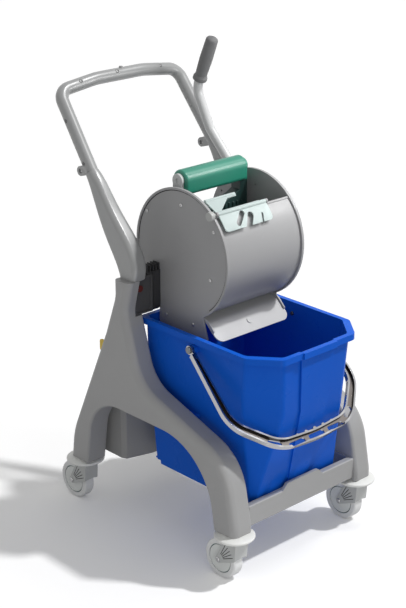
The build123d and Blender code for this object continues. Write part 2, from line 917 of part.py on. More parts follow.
bucket_levels = [
    (bucket_base_z, bucket_base),
    (bucket_crease_z, bucket_crease),
    (bucket_rim_z, bucket_mouth),
]
bucket_hollow = [
    (bucket_base_z + bucket_wall, bucket_base),
    (bucket_crease_z, bucket_crease),
    (bucket_rim_z, bucket_mouth),
    (bucket_rim_z + rim_t, bucket_mouth),
]
rim_low_z = bucket_rim_z - rim_h
bail_bore_d = bail_pin_d + 2 * shaft_clearance

with BuildPart() as bucket:
    bucket_loft([(rim_low_z, bucket_mouth), (bucket_rim_z, bucket_mouth)], -rim_reach, Mode.ADD)
    rim_hollow = [(rim_low_z, bucket_mouth), (bucket_rim_z - rim_t, bucket_mouth)]
    bucket_loft(rim_hollow, rim_t - rim_reach, Mode.SUBTRACT)
    bucket_loft(bucket_levels, 0, Mode.ADD)
    for s in (-1, 1):
        rod(s * bucket_base[0], s * bail_boss_x, bail_pivot_y, bail_pivot_z, bail_boss_d)
        block(
            s * bucket_base[0],
            s * rib_half_x,
            runner_front_y + rib_inset,
            runner_rear_y - rib_inset,
            runner_z,
            runner_z + rib_t,
        )
    bucket_loft(bucket_hollow, bucket_wall, Mode.SUBTRACT)
    step_half = bucket_base[0] - bucket_wall / 2
    step_rear = bucket_base[2] - bucket_wall / 2
    step_top = bucket_base_z + heel_notch_h + bucket_wall
    block(-step_half, step_half, heel_notch_y - bucket_wall, step_rear, bucket_base_z, step_top)
    block(
        -bucket_half,
        bucket_half,
        heel_notch_y,
        bucket_mouth[2],
        bucket_base_z,
        bucket_base_z + heel_notch_h,
        mode=Mode.SUBTRACT,
    )
    for s in (-1, 1):
        hole_d = bail_pin_d + fit
        rod(s * bucket_base[0], s * rib_half_x, bail_pivot_y, bail_pivot_z, hole_d, mode=Mode.SUBTRACT)
keep(bucket, "bucket")

with BuildPart() as bail_pins:
    for s in (-1, 1):
        pin_in_x = bucket_half - 2 * bucket_wall
        head_x = bail_pivot_x + bail_eye_t / 2 + bail_pin_gap
        rod(s * pin_in_x, s * head_x, bail_pivot_y, bail_pivot_z, bail_pin_d)
        rod(s * head_x, s * (head_x + bail_pin_head_h), bail_pivot_y, bail_pivot_z, bail_pin_head_d)
keep(bail_pins, "bail_pins")

# Bail: a channel-section band in one tilted plane that widens to a slotted grip in front
drop = radians(bail_drop)
bail_plane = Plane(
    origin=(0, bail_pivot_y, bail_pivot_z), x_dir=(1, 0, 0), z_dir=(0, -sin(drop), cos(drop))
)
bail_reach = (bail_pivot_y - bucket_crease[1] + panel_proud) / cos(drop) + bail_stand_off
bail_root = bail_boss_d / 2 + bail_boss_gap
bail_shoulder = (bail_pivot_x + bail_shoulder_out, bail_shoulder_at * bail_reach)
bail_corner = (bail_pivot_x - bail_corner_in, bail_reach - bail_corner_sag)
bail_root_x = bail_pivot_x + bail_shoulder_out * bail_root / bail_shoulder[1]
# Knots of the right half: place, outward direction of the mitre, half width
bail_knots = [
    (bail_root_x, bail_root, *bail_root_mitre, bail_root_half),
    (*bail_shoulder, *bail_shoulder_mitre, bail_arm_half),
    (*bail_corner, *bail_corner_mitre, bail_front_half),
]


def bail_band(inset):
    """Plan of the bail's band in its own plane, drawn in by inset."""
    outer = [(x + a * (h - inset), -v - b * (h - inset)) for x, v, a, b, h in bail_knots]
    inner = [(x - a * (h - inset), -v + b * (h - inset)) for x, v, a, b, h in bail_knots]
    width = bail_front_half - inset
    points = outer + [(0, -bail_reach - width)] + [(-x, y) for x, y in reversed(outer)]
    points += [(-x, y) for x, y in inner] + [(0, -bail_reach + width)] + list(reversed(inner))
    wide = [0, bail_shoulder_r + bail_arm_half, bail_corner_r + bail_front_half]
    tight = [0, bail_shoulder_r - bail_arm_half, bail_corner_r - bail_front_half]
    radii = wide + [bail_front_r] + list(reversed(wide)) + tight + [bail_front_r] + list(reversed(tight))
    return rounded(points, radii)


with BuildPart() as bail:
    with BuildSketch(bail_plane):
        make_face(bail_band(0))
        with Locations((0, -bail_reach + bail_front_half)):
            with GridLocations(bail_bump_pitch, 1, bail_bumps, 1):
                Circle(bail_bump_r)
    extrude(amount=bail_h / 2, both=True)
    with BuildSketch(bail_plane.offset(bail_h / 2)):
        make_face(bail_band(bail_rail_t))
    extrude(amount=-bail_groove_depth, mode=Mode.SUBTRACT)
    with BuildSketch(bail_plane.offset(-bail_h / 2)):
        with Locations((0, -bail_reach)):
            with GridLocations(bail_slot_pitch, 1, bail_slots, 1):
                RectangleRounded(bail_slot_len, bail_slot_w, bail_slot_r)
        for s in (-1, 1):
            end_slot = (s * (bail_corner[0] + bail_end_slot_out), -bail_reach + bail_end_slot_sag)
            with Locations(end_slot):
                SlotOverall(bail_end_slot_len, bail_slot_w, rotation=s * bail_end_slot_turn)
    extrude(amount=bail_h, mode=Mode.SUBTRACT)
    for s in (-1, 1):
        with BuildSketch(bail_plane):
            with Locations((s * bail_pivot_x, -bail_root)):
                Rectangle(bail_eye_t, 2 * bail_root)
        extrude(amount=bail_h / 2, both=True)
        eye_in = s * (bail_pivot_x - bail_eye_t / 2)
        eye_out = s * (bail_pivot_x + bail_eye_t / 2)
        rod(eye_in, eye_out, bail_pivot_y, bail_pivot_z, bail_eye_d)
        rod(eye_in, eye_out, bail_pivot_y, bail_pivot_z, bail_bore_d, mode=Mode.SUBTRACT)
keep(bail, "bail")

# Wringer side plates: a round drum end with a fuller rear and a foot that stands in the bucket
drum_rear_y = drum_y + drum_r
rear_low_z = drum_z - drum_rear_drop
tail_z = rear_low_z - drum_tail_drop
plate_foot_z = drum_z - drum_foot_drop
foot_front_y = drum_y - drum_foot_front
foot_rear_y = drum_y + drum_foot_rear
notch_y = drum_y - drum_notch
bead_low_z = drum_z - bead_drop
hanger_low_z = neck_z - hanger_low
hook_top_z = neck_z + hook_h
rear_points = [
    (drum_y, drum_z),
    (drum_rear_y, drum_z),
    (drum_rear_y, rear_low_z),
    (foot_rear_y - drum_tail_in, tail_z),
    (drum_y, tail_z),
]
foot_points = [
    (foot_front_y, plate_foot_z),
    (foot_rear_y, plate_foot_z),
    (foot_rear_y, rear_low_z),
    (drum_y, drum_z),
    (notch_y, drum_z - sqrt(drum_r**2 - drum_notch**2)),
]
plate_screw_spots = [
    (drum_y + (drum_r - inset) * cos(radians(angle)), drum_z + (drum_r - inset) * sin(radians(angle)))
    for angle, inset in zip(rim_screw_angles, rim_screw_insets)
]
plate_screw_spots += [(drum_y + y, plate_foot_z + foot_screw_rise) for y in foot_screws_y]
hanger_tab_top_z = neck_z + hook_t

with BuildPart() as left_plate:
    with BuildSketch(side(-drum_half_x)) as plate_outline:
        with Locations((drum_y, drum_z)):
            Circle(drum_r)
        make_face(rounded(rear_points, [0, 0, drum_rear_low_r, 0, 0]))
        make_face(rounded(foot_points, [drum_foot_r, drum_foot_r, 0, 0, 0]))
    extrude(amount=drum_plate_t)
    with BuildSketch(side(-drum_half_x)):
        add(plate_outline.sketch_local)
        offset(plate_outline.sketch_local, amount=-bead_w, mode=Mode.SUBTRACT)
        with Locations((drum_y, plate_foot_z)):
            Rectangle(4 * drum_r, 2 * (bead_low_z - plate_foot_z), mode=Mode.SUBTRACT)
        with Locations((hanger_front_y - fit + drum_r, (hanger_low_z + hook_top_z) / 2)):
            Rectangle(2 * drum_r, hook_top_z - hanger_low_z + 2 * fit, mode=Mode.SUBTRACT)
    extrude(amount=-bead_h)
    block(
        -drum_half_x,
        -plate_in_x,
        hanger_front_y,
        hanger_rear_y - hanger_tab_in,
        hanger_low_z + hanger_tab_rise,
        hanger_tab_top_z,
    )
    for y, z in plate_screw_spots:
        rod(-drum_half_x - bead_h, -plate_in_x, y, z, screw_shank_d + fit, mode=Mode.SUBTRACT)
keep(left_plate, "wringer_left_plate")

bush_out_d = shaft_d + 2 * bush_t
shaft_bore_d = shaft_d + 2 * shaft_clearance
with BuildPart() as right_plate:
    mirror(left_plate.part, about=Plane.YZ)
    rod(plate_in_x, drum_half_x, drum_y, drum_z, bush_out_d + fit, mode=Mode.SUBTRACT)
keep(right_plate, "wringer_right_plate")

with BuildPart() as plate_screws:
    for s in (-1, 1):
        for y, z in plate_screw_spots:
            rod(s * plate_in_x, s * drum_half_x, y, z, screw_shank_d)
            rod(s * drum_half_x, s * (drum_half_x + screw_h), y, z, screw_d)
keep(plate_screws, "plate_screws")

# Shaft bushes: a blind cup inside the left plate, a flanged sleeve through the right one
with BuildPart() as shaft_bushes:
    rod(-plate_in_x, -plate_in_x + blind_bush_t, drum_y, drum_z, bush_flange_d)
    cup_x = -plate_in_x + blind_bush_floor
    rod(cup_x, -plate_in_x + blind_bush_t, drum_y, drum_z, shaft_bore_d, mode=Mode.SUBTRACT)
    rod(plate_in_x, drum_half_x + bush_flange_t, drum_y, drum_z, bush_out_d)
    rod(drum_half_x, drum_half_x + bush_flange_t, drum_y, drum_z, bush_flange_d)
    rod(plate_in_x, drum_half_x + bush_flange_t, drum_y, drum_z, shaft_bore_d, mode=Mode.SUBTRACT)
keep(shaft_bushes, "shaft_bushes")

# Drum front wall: a curved sheet between the plates, with a rolled top lip and two ears for the flap
wall_mid_r = drum_wall_r - drum_wall_t / 2
flap_rod_y = drum_y + flap_r * cos(radians(flap_rod_angle))
flap_rod_z = drum_z + flap_r * sin(radians(flap_rod_angle))
ear_out_x = plate_in_x - flap_ear_gap
flap_left_x = flap_ear_w + flap_ear_gap - ear_out_x
right_ear_x = flap_right_x + flap_ear_gap
with BuildPart() as drum_front_wall:
    with BuildSketch(side(-plate_in_x)):
        with BuildLine() as wall_line:
            CenterArc((drum_y, drum_z), wall_mid_r, wall_top_angle, wall_low_angle - wall_top_angle)
        trace(wall_line.line, drum_wall_t)
        with Locations(wall_line.line @ 0):
            Circle(wall_lip_r)
    extrude(amount=2 * plate_in_x)
    for ear_x in (-ear_out_x, right_ear_x):
        with BuildSketch(side(ear_x)):
            with Locations((flap_rod_y, flap_rod_z)):
                Circle(flap_rod_d / 2 + flap_ear_t)
            with Locations(wall_line.line @ 0):
                Circle(wall_lip_r)
            make_hull()
        extrude(amount=flap_ear_w)
        ear_bore_d = flap_rod_d + 2 * shaft_clearance
        rod(ear_x, ear_x + flap_ear_w, flap_rod_y, flap_rod_z, ear_bore_d, mode=Mode.SUBTRACT)
keep(drum_front_wall, "drum_front_wall")

# Squeeze plate: the fixed ribbed jaw that the mop is pressed against
squeeze_rear = facing(squeeze_y + squeeze_t / 2)
squeeze_low_z = drum_z - squeeze_low
squeeze_side_z = drum_z + squeeze_side
squeeze_ribs = int(2 * (plate_in_x - squeeze_rib_inset) // squeeze_rib_pitch)
with BuildPart() as squeeze_plate:
    with BuildSketch(squeeze_rear):
        with BuildLine():
            Polyline(
                (-plate_in_x, squeeze_side_z),
                (-plate_in_x, squeeze_low_z),
                (plate_in_x, squeeze_low_z),
                (plate_in_x, squeeze_side_z),
            )
            ThreePointArc(
                (plate_in_x, squeeze_side_z), (0, drum_z + squeeze_top), (-plate_in_x, squeeze_side_z)
            )
        make_face()
    extrude(amount=squeeze_t)
    with BuildSketch(squeeze_rear):
        with Locations((0, (squeeze_low_z + squeeze_side_z) / 2)):
            with GridLocations(squeeze_rib_pitch, 1, squeeze_ribs, 1):
                Rectangle(squeeze_rib_w, squeeze_side_z - squeeze_low_z - 2 * squeeze_rib_inset)
    extrude(amount=-squeeze_rib_h)
keep(squeeze_plate, "squeeze_plate")

# Drip tray: a sloped floor under the drum with low end walls and a rounded lip over the bucket
tray_half_x = plate_in_x - tray_gap
tray_spots = [Vector(drum_y + y, drum_z + z) for y, z in (tray_rear, tray_break, tray_lip)]
slope_run = tray_spots[2] - tray_spots[1]
slope_mid = tray_spots[1] + slope_run * 0.5
wall_rise = Vector(0, tray_wall_h / 2)
with BuildPart() as drip_tray:
    with BuildSketch(side(-tray_half_x)):
        with BuildLine() as tray_line:
            FilletPolyline(*tray_spots, radius=tray_bend_r)
        trace(tray_line.line, tray_t)
    extrude(amount=2 * tray_half_x)
    lip_edges = drip_tray.edges().filter_by(lambda e: e.length < 2 * tray_t).group_by(Axis.Y)[0]
    fillet(lip_edges, tray_lip_r)
    for end_x in (-tray_half_x, tray_half_x - tray_wall_t):
        with BuildSketch(side(end_x)):
            with BuildLine() as tray_wall_line:
                FilletPolyline(
                    tray_spots[0] + wall_rise,
                    tray_spots[1] + wall_rise,
                    tray_spots[1] + slope_run * tray_wall_end + wall_rise,
                    radius=tray_bend_r,
                )
            trace(tray_wall_line.line, tray_t + tray_wall_h)
        extrude(amount=tray_wall_t)
    boss_plane = Plane(
        origin=(0, slope_mid.X, slope_mid.Y), x_dir=(1, 0, 0), z_dir=(0, slope_run.Y, -slope_run.X)
    )
    with BuildSketch(boss_plane):
        Circle(tray_boss_d / 2)
    extrude(amount=tray_t / 2 + tray_boss_h)
keep(drip_tray, "drip_tray")

# Hangers on the drum and the brackets on the frame necks that they drop into
hanger_out_x = drum_half_x + hanger_t
bracket_inner_x = hanger_out_x + hanger_gap
key_out_x = bracket_inner_x + key_depth
hook_out_x = key_out_x + hook_lap
key_y = (hanger_front_y + hanger_rear_y) / 2
key_low_z = neck_z - hanger_key_low
hanger_points = [
    (hanger_front_y, hanger_tab_top_z),
    (hanger_front_y, hanger_low_z),
    (hanger_rear_y, hanger_low_z),
    (hanger_rear_y, hanger_tab_top_z),
]
hanger_end_r = hanger_end_share * (hanger_rear_y - hanger_front_y)
hook_front_y = hanger_front_y + bracket_round
tooth_pitch_x = (hook_out_x - drum_half_x - hook_tooth_t) / (hook_teeth - 1)
with BuildPart() as left_hanger:
    with BuildSketch(side(-drum_half_x)):
        make_face(rounded(hanger_points, [0, hanger_end_r, hanger_end_r, 0]))
    extrude(amount=-hanger_t)
    block(
        -hanger_out_x,
        -key_out_x,
        key_y - hanger_key_w / 2,
        key_y + hanger_key_w / 2,
        key_low_z,
        neck_z + hook_gap,
    )
    block(-hanger_out_x, -hook_out_x, hook_front_y, hanger_rear_y, neck_z + hook_gap, hanger_tab_top_z)
    for i in range(hook_teeth):
        tooth_x = -drum_half_x - tooth_pitch_x * i
        tooth_rear_y = hook_front_y + hook_tooth_y
        block(
            tooth_x, tooth_x - hook_tooth_t, hook_front_y, tooth_rear_y, hanger_tab_top_z, hook_top_z
        )
keep(left_hanger, "left_hanger")
write_right(left_hanger, "right_hanger")

panel_x = ((frame_inner_x, bracket_inner_x, hanger_rear_y), (bracket_out_x, frame_inner_x, tongue_rear_y))
with BuildPart() as left_bracket:
    for out_x, in_x, rear_y in panel_x:
        panel_points = [
            (hanger_front_y, bracket_low_z),
            (rear_y, bracket_low_z),
            (rear_y, neck_z),
            (hanger_front_y, neck_z),
        ]
        with BuildSketch(side(-out_x)):
            make_face(rounded(panel_points, [bracket_round, 0, 0, bracket_round]))
        extrude(amount=out_x - in_x)
    block(
        -bracket_out_x + bracket_border,
        -bracket_inner_x - bracket_border,
        hanger_front_y,
        hanger_front_y + bracket_recess,
        bracket_low_z + bracket_border,
        neck_z - bracket_border,
        mode=Mode.SUBTRACT,
    )
    block(
        -bracket_inner_x,
        -key_out_x - key_clearance,
        key_y - hanger_key_w / 2 - key_clearance,
        key_y + hanger_key_w / 2 + key_clearance,
        key_low_z - key_clearance,
        neck_z,
        mode=Mode.SUBTRACT,
    )
keep(left_bracket, "left_wringer_bracket")
write_right(left_bracket, "right_wringer_bracket")

with BuildPart() as bracket_plugs:
    for s in (-1, 1):
        plug_at = (s * (frame_inner_x + plug_out), hanger_front_y + bracket_recess, neck_z - plug_drop)
        with BuildSketch(Plane(origin=plug_at, z_dir=(0, -1, 0))):
            Circle(plug_d / 2)
        extrude(amount=plug_h)
    fillet(bracket_plugs.edges().filter_by(GeomType.CIRCLE).group_by(Axis.Y)[0], plug_round)
keep(bracket_plugs, "bracket_plugs")

# Lever drive: shaft, hub, bent tube and grip
lever_bend_y = drum_y + lever_bend[0]
lever_bend_z = drum_z + lever_bend[1]
grip_low_y = drum_y + grip_low[0]
grip_low_z = drum_z + grip_low[1]
grip_top_y = drum_y + grip_top[0]
grip_top_z = drum_z + grip_top[1]
with BuildPart() as drive_shaft:
    rod(-plate_in_x + blind_bush_floor + shaft_end_gap, lever_x + lever_hub_w / 2, drum_y, drum_z, shaft_d)
keep(drive_shaft, "drive_shaft")

lever_tilt = atan2(lever_bend_z - drum_z, lever_bend_y - drum_y)
grip_len = sqrt((grip_top_y - grip_low_y) ** 2 + (grip_top_z - grip_low_z) ** 2)
grip_dir = ((grip_top_y - grip_low_y) / grip_len, (grip_top_z - grip_low_z) / grip_len)
socket_start = lever_hub_d / 2
with BuildPart() as lever_hub:
    rod(lever_x - lever_hub_w / 2, lever_x + lever_hub_w / 2, drum_y, drum_z, lever_hub_d)
    socket_plane = Plane(origin=(lever_x, drum_y, drum_z), z_dir=(0, cos(lever_tilt), sin(lever_tilt)))
    with BuildSketch(socket_plane):
        Circle(lever_d / 2 + lever_socket_t)
    extrude(amount=lever_socket_len)
    with BuildSketch(socket_plane.offset(socket_start)):
        Circle(lever_d / 2 + fit / 2)
    extrude(amount=lever_socket_len, mode=Mode.SUBTRACT)
    rod(lever_x - lever_hub_w, lever_x + lever_hub_w, drum_y, drum_z, shaft_d + fit, mode=Mode.SUBTRACT)
keep(lever_hub, "lever_hub")

knee_y = grip_low_y - lever_knee_gap * grip_dir[0]
knee_z = grip_low_z - lever_knee_gap * grip_dir[1]
tip_y = grip_low_y + lever_tip_depth * grip_dir[0]
tip_z = grip_low_z + lever_tip_depth * grip_dir[1]
root_y = drum_y + socket_start * cos(lever_tilt)
root_z = drum_z + socket_start * sin(lever_tilt)
with BuildPart() as lever_tube:
    with BuildLine() as lever_line:
        FilletPolyline(
            (lever_x, root_y, root_z),
            (lever_x, lever_bend_y, lever_bend_z),
            (lever_x, knee_y, knee_z),
            (lever_x, tip_y, tip_z),
            radius=[lever_bend_r, lever_knee_r],
        )
    with BuildSketch(Plane(origin=lever_line.line @ 0, z_dir=lever_line.line % 0)):
        Circle(lever_d / 2)
    sweep(path=lever_line.line)
keep(lever_tube, "lever_tube")

grip_plane = Plane(
    origin=(lever_x, grip_low_y, grip_low_z), x_dir=(1, 0, 0), z_dir=(0, -grip_dir[1], grip_dir[0])
)
grip_r = grip_d / 2
with BuildPart() as lever_grip:
    grip_section = [
        (lever_d / 2 + fit / 2, 0),
        (grip_collar_d / 2, 0),
        (grip_collar_d / 2, grip_collar_h),
        (grip_r - grip_waist_in, grip_waist_z),
        (grip_r + grip_swell, grip_len / 2),
        (grip_r - grip_swell, grip_len - 2 * grip_dome),
        (0, grip_len + grip_dome),
        (0, lever_tip_depth + fit),
        (lever_d / 2 + fit / 2, lever_tip_depth + fit),
    ]
    with BuildSketch(grip_plane):
        grip_radii = [0, grip_edge_r, grip_edge_r, grip_waist_r, grip_swell_r, grip_tip_r, 0, 0, 0]
        make_face(rounded(grip_section, grip_radii))
    revolve(axis=Axis((lever_x, grip_low_y, grip_low_z), (0, grip_dir[0], grip_dir[1])))
keep(lever_grip, "lever_grip")

# Pinions: involute teeth, thinned for backlash, with one tooth pointing straight up at rest
pitch_r = gear_module * gear_teeth / 2
base_r = pitch_r * cos(radians(pressure_angle))
tip_r = pitch_r + gear_module
root_r = pitch_r - gear_dedendum * gear_module
tooth_pitch = pi * gear_module


def involute(r):
    """Involute angle of a flank at radius r."""
    turn = acos(min(1, base_r / r))
    return tan(turn) - turn


def tooth_points(centre):
    """Outline of one tooth, from root to root, about the angle centre."""
    half_pitch = (tooth_pitch / 2 - gear_backlash) / (2 * pitch_r)
    flank = []
    for r in (root_r, base_r, (base_r + pitch_r) / 2, pitch_r, (pitch_r + tip_r) / 2, tip_r):
        half = half_pitch + involute(pitch_r) - involute(max(r, base_r))
        flank.append((r, half))
    rising = [(r * cos(centre - h), r * sin(centre - h)) for r, h in flank]
    falling = [(r * cos(centre + h), r * sin(centre + h)) for r, h in reversed(flank)]
    return rising + falling


gear_points = []
for i in range(gear_teeth):
    gear_points += tooth_points(pi / 2 + 2 * pi * i / gear_teeth)

with BuildPart() as left_pinion:
    with BuildSketch(side(-gear_inner_x - gear_w, drum_y)):
        with BuildLine() as gear_line:
            Polyline(*[(y, drum_z + z) for y, z in gear_points], close=True)
        make_face(gear_line.edges())
        with Locations((0, drum_z)):
            Circle(shaft_d / 2 + fit / 2, mode=Mode.SUBTRACT)
    extrude(amount=gear_w)
keep(left_pinion, "left_pinion")
write_right(left_pinion, "right_pinion")

# Press jaw: a fat rounded bar on two arms over a ribbed plate, with end caps that carry the racks
jaw_r = jaw_bar_d / 2
jaw_skirt_z = jaw_bar_z - jaw_bar_drop
jaw_low_at = jaw_r - jaw_bar_low_r
jaw_panel_top_z = jaw_skirt_z + jaw_bar_low_r
window_x = jaw_half_x - jaw_arm_w
jaw_ribs = int(2 * (jaw_half_x - jaw_rib_inset) // jaw_rib_pitch)
with BuildPart() as press_jaw:
    with BuildSketch(side(-jaw_half_x)):
        with Locations((jaw_y, jaw_bar_z)):
            Circle(jaw_r)
        with Locations((jaw_y - jaw_low_at, jaw_panel_top_z), (jaw_y + jaw_low_at, jaw_panel_top_z)):
            Circle(jaw_bar_low_r)
        make_hull()
    extrude(amount=2 * jaw_half_x)
    end_faces = press_jaw.faces().filter_by(Axis.X)
    fillet(end_faces.edges(), jaw_end_round)
    with BuildSketch(facing(jaw_y + jaw_plate_t / 2)):
        with Locations((0, (jaw_low_z + jaw_panel_top_z) / 2)):
            Rectangle(2 * jaw_half_x, jaw_panel_top_z - jaw_low_z)
        with BuildLine() as window:
            ThreePointArc((-window_x, jaw_horn_z), (0, jaw_dip_z), (window_x, jaw_horn_z))
            Polyline(
                (window_x, jaw_horn_z),
                (window_x, jaw_panel_top_z),
                (-window_x, jaw_panel_top_z),
                (-window_x, jaw_horn_z),
            )
        make_face(window.edges(), mode=Mode.SUBTRACT)
    extrude(amount=jaw_plate_t)
    with BuildSketch(facing(jaw_y - jaw_plate_t / 2)):
        with Locations((0, (jaw_low_z + jaw_dip_z) / 2)):
            with GridLocations(jaw_rib_pitch, 1, jaw_ribs, 1):
                Rectangle(squeeze_rib_w, jaw_dip_z - jaw_low_z - 2 * jaw_rib_inset)
    extrude(amount=jaw_rib_h)
keep(press_jaw, "press_jaw")

with BuildPart() as left_jaw_cap:
    with BuildSketch(side(-jaw_half_x)):
        with Locations((jaw_y, jaw_bar_z)):
            Circle(jaw_r - cap_inset)
        with Locations((jaw_y, (jaw_low_z + jaw_bar_z) / 2)):
            Rectangle(jaw_plate_t, jaw_bar_z - jaw_low_z)
    extrude(amount=-cap_t)
    rod(-cap_x, -cap_x + cap_dimple_depth, jaw_y, jaw_bar_z, cap_dimple_d, mode=Mode.SUBTRACT)
keep(left_jaw_cap, "left_jaw_cap")
write_right(left_jaw_cap, "right_jaw_cap")

rack_front_y = drum_y - rack_front
rack_rear_y = drum_y + rack_rear
rack_top_z = drum_z + rack_top
rack_flange_low_z = drum_z + rack_flange_low
rack_flange_top_z = drum_z + rack_flange_top
guide_front_y = drum_y - guide_front
guide_rear_y = drum_y + guide_rear
rack_line_z = drum_z + pitch_r
rack_root_z = rack_line_z + gear_dedendum * gear_module
rack_tip_z = rack_line_z - gear_module
rack_half = tooth_pitch / 4 - rack_backlash
slope = tan(radians(pressure_angle))
reach = rack_half + rack_end_gap
tooth_spots = [drum_y + (i + 0.5) * tooth_pitch for i in range(-gear_teeth, gear_teeth)]
rack_teeth = [y for y in tooth_spots if rack_front_y + reach < y < rack_rear_y - reach]
with BuildPart() as left_rack:
    with BuildSketch(side(-rack_out_x)):
        with Locations(((rack_front_y + rack_rear_y) / 2, (rack_root_z + rack_top_z) / 2)):
            Rectangle(rack_rear_y - rack_front_y, rack_top_z - rack_root_z)
        for y in rack_teeth:
            root_half = rack_half + (rack_root_z - rack_line_z) * slope
            tip_half = rack_half - gear_module * slope
            with BuildLine() as tooth_line:
                Polyline(
                    (y - root_half, rack_root_z),
                    (y - tip_half, rack_tip_z),
                    (y + tip_half, rack_tip_z),
                    (y + root_half, rack_root_z),
                    close=True,
                )
            make_face(tooth_line.edges())
    extrude(amount=rack_out_x - cap_x)
    block(
        -rack_out_x,
        -rack_out_x - rack_flange_t,
        rack_front_y,
        rack_rear_y,
        rack_flange_low_z,
        rack_flange_top_z,
    )
keep(left_rack, "left_rack")
write_right(left_rack, "right_rack")

guide_in_x = rack_out_x + rack_guide_gap
with BuildPart() as left_jaw_guide:
    block(
        -plate_in_x,
        -guide_in_x,
        guide_front_y,
        guide_rear_y,
        rack_flange_low_z - guide_gap - guide_lip,
        rack_flange_top_z + guide_gap + guide_lip,
    )
    block(
        -rack_out_x - rack_flange_t - guide_gap,
        -guide_in_x,
        guide_front_y,
        guide_rear_y,
        rack_flange_low_z - guide_gap,
        rack_flange_top_z + guide_gap,
        mode=Mode.SUBTRACT,
    )
keep(left_jaw_guide, "left_jaw_guide")
write_right(left_jaw_guide, "right_jaw_guide")

# Mop flap: a curved sheet with petals on a knobbed rod, and a wing that reaches over the wall's lip
flap_mid = radians(flap_rod_angle + flap_sweep / 2)
flap_tangent = Plane(
    origin=(0, drum_y + flap_r * cos(flap_mid), drum_z + flap_r * sin(flap_mid)),
    x_dir=(1, 0, 0),
    z_dir=(0, cos(flap_mid), sin(flap_mid)),
)
with BuildPart() as flap_rod:
    knob_x = -drum_half_x - bead_h - flap_knob_gap
    rod(knob_x, knob_x - flap_knob_w, flap_rod_y, flap_rod_z, flap_knob_d)
    fillet(flap_rod.edges().filter_by(GeomType.CIRCLE), flap_knob_r)
    rod_end_x = right_ear_x + flap_ear_w + flap_ear_gap
    rod(knob_x - flap_knob_w / 2, rod_end_x, flap_rod_y, flap_rod_z, flap_rod_d)
keep(flap_rod, "flap_rod")

with BuildPart() as mop_flap:
    with BuildSketch(side(flap_left_x)):
        with BuildLine() as sheet_line:
            CenterArc((drum_y, drum_z), flap_r, flap_rod_angle, flap_sweep)
        trace(sheet_line.line, flap_t)
    extrude(amount=flap_right_x - flap_left_x)
    petal_corners = mop_flap.edges().filter_by(lambda e: e.length < 2 * flap_t).group_by(Axis.Z)[0]
    fillet(petal_corners, flap_corner_r)
    for x, up, run, width, turn in (flap_slot, flap_gap, flap_slit):
        with BuildSketch(flap_tangent):
            with Locations((x, up)):
                SlotCenterToCenter(run, width, rotation=turn)
        extrude(amount=flap_hub_d, both=True, mode=Mode.SUBTRACT)
    with BuildSketch(side(flap_left_x)):
        with BuildLine() as wing_line:
            wing_end = (flap_rod_y + flap_wing_back, flap_rod_z + flap_wing_rise)
            Line((flap_rod_y, flap_rod_z), wing_end)
        trace(wing_line.line, flap_t)
        with Locations(wing_end):
            Circle(flap_wing_roll_r)
    extrude(amount=flap_wing_right_x - flap_left_x)
    rod(flap_left_x, flap_right_x, flap_rod_y, flap_rod_z, flap_hub_d)
    rod(flap_left_x, flap_right_x, flap_rod_y, flap_rod_z, flap_rod_d + fit, mode=Mode.SUBTRACT)
keep(mop_flap, "mop_flap")
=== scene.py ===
"""Looks of a mop bucket trolley: finishes, eased mouldings, fittings, studio and camera."""

import json
import logging
import math
from collections.abc import Callable
from dataclasses import dataclass
from enum import Enum

import bpy
from mathutils import Matrix, Vector


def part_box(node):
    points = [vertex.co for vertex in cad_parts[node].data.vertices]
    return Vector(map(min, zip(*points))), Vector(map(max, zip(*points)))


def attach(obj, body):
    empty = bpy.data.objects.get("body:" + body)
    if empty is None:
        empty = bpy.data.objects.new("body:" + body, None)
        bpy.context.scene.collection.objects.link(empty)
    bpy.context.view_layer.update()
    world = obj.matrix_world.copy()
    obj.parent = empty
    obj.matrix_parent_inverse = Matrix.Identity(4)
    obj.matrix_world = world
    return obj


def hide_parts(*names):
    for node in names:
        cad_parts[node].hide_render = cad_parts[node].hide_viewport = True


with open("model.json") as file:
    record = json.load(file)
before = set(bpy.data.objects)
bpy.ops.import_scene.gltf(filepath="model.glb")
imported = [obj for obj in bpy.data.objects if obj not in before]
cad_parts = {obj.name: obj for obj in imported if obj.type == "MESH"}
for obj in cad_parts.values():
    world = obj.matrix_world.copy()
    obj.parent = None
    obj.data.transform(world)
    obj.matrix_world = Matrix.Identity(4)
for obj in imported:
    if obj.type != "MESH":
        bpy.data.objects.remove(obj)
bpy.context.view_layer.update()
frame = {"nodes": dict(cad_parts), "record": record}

LOG = logging.getLogger("trolley")
MM = 0.001
MICRON = 0.000001

# Finishes: grain features in a metre, how far a rub mark goes to white, and clear plastic.
GRAINS_A_METRE = 900.0
RUB_WHITENING = 0.5
CLEAR_IOR = 1.25
CLEAR_DEPTH = 10 * MICRON

# Meshes: points this close in millimetres are merged, faces this flat in degrees become one,
# edges this sharp stay sharp in the light, a normal's z from which a face looks up, and the
# rounding of a piece that is only shaded smooth.
MERGE = 0.01
FLAT_ANGLE = 0.4
ROUND_ANGLE = 30.0
FACES_UP = 0.9
SMOOTH_ONLY = 0.0

Colour = tuple[float, float, float]
Point = tuple[float, float, float]


class Corner(Enum):
    """The four casters by their place under the trolley."""

    FRONT_LEFT = "front_left"
    FRONT_RIGHT = "front_right"
    REAR_LEFT = "rear_left"
    REAR_RIGHT = "rear_right"


class Effect(Enum):
    """Surface effects that several finishes share, one node group each."""

    GRAIN = "moulded_grain"
    SMUDGE = "handling_smudge"
    BRUSH = "drawn_brush_lines"
    SCUFF = "rubbed_scuffs"


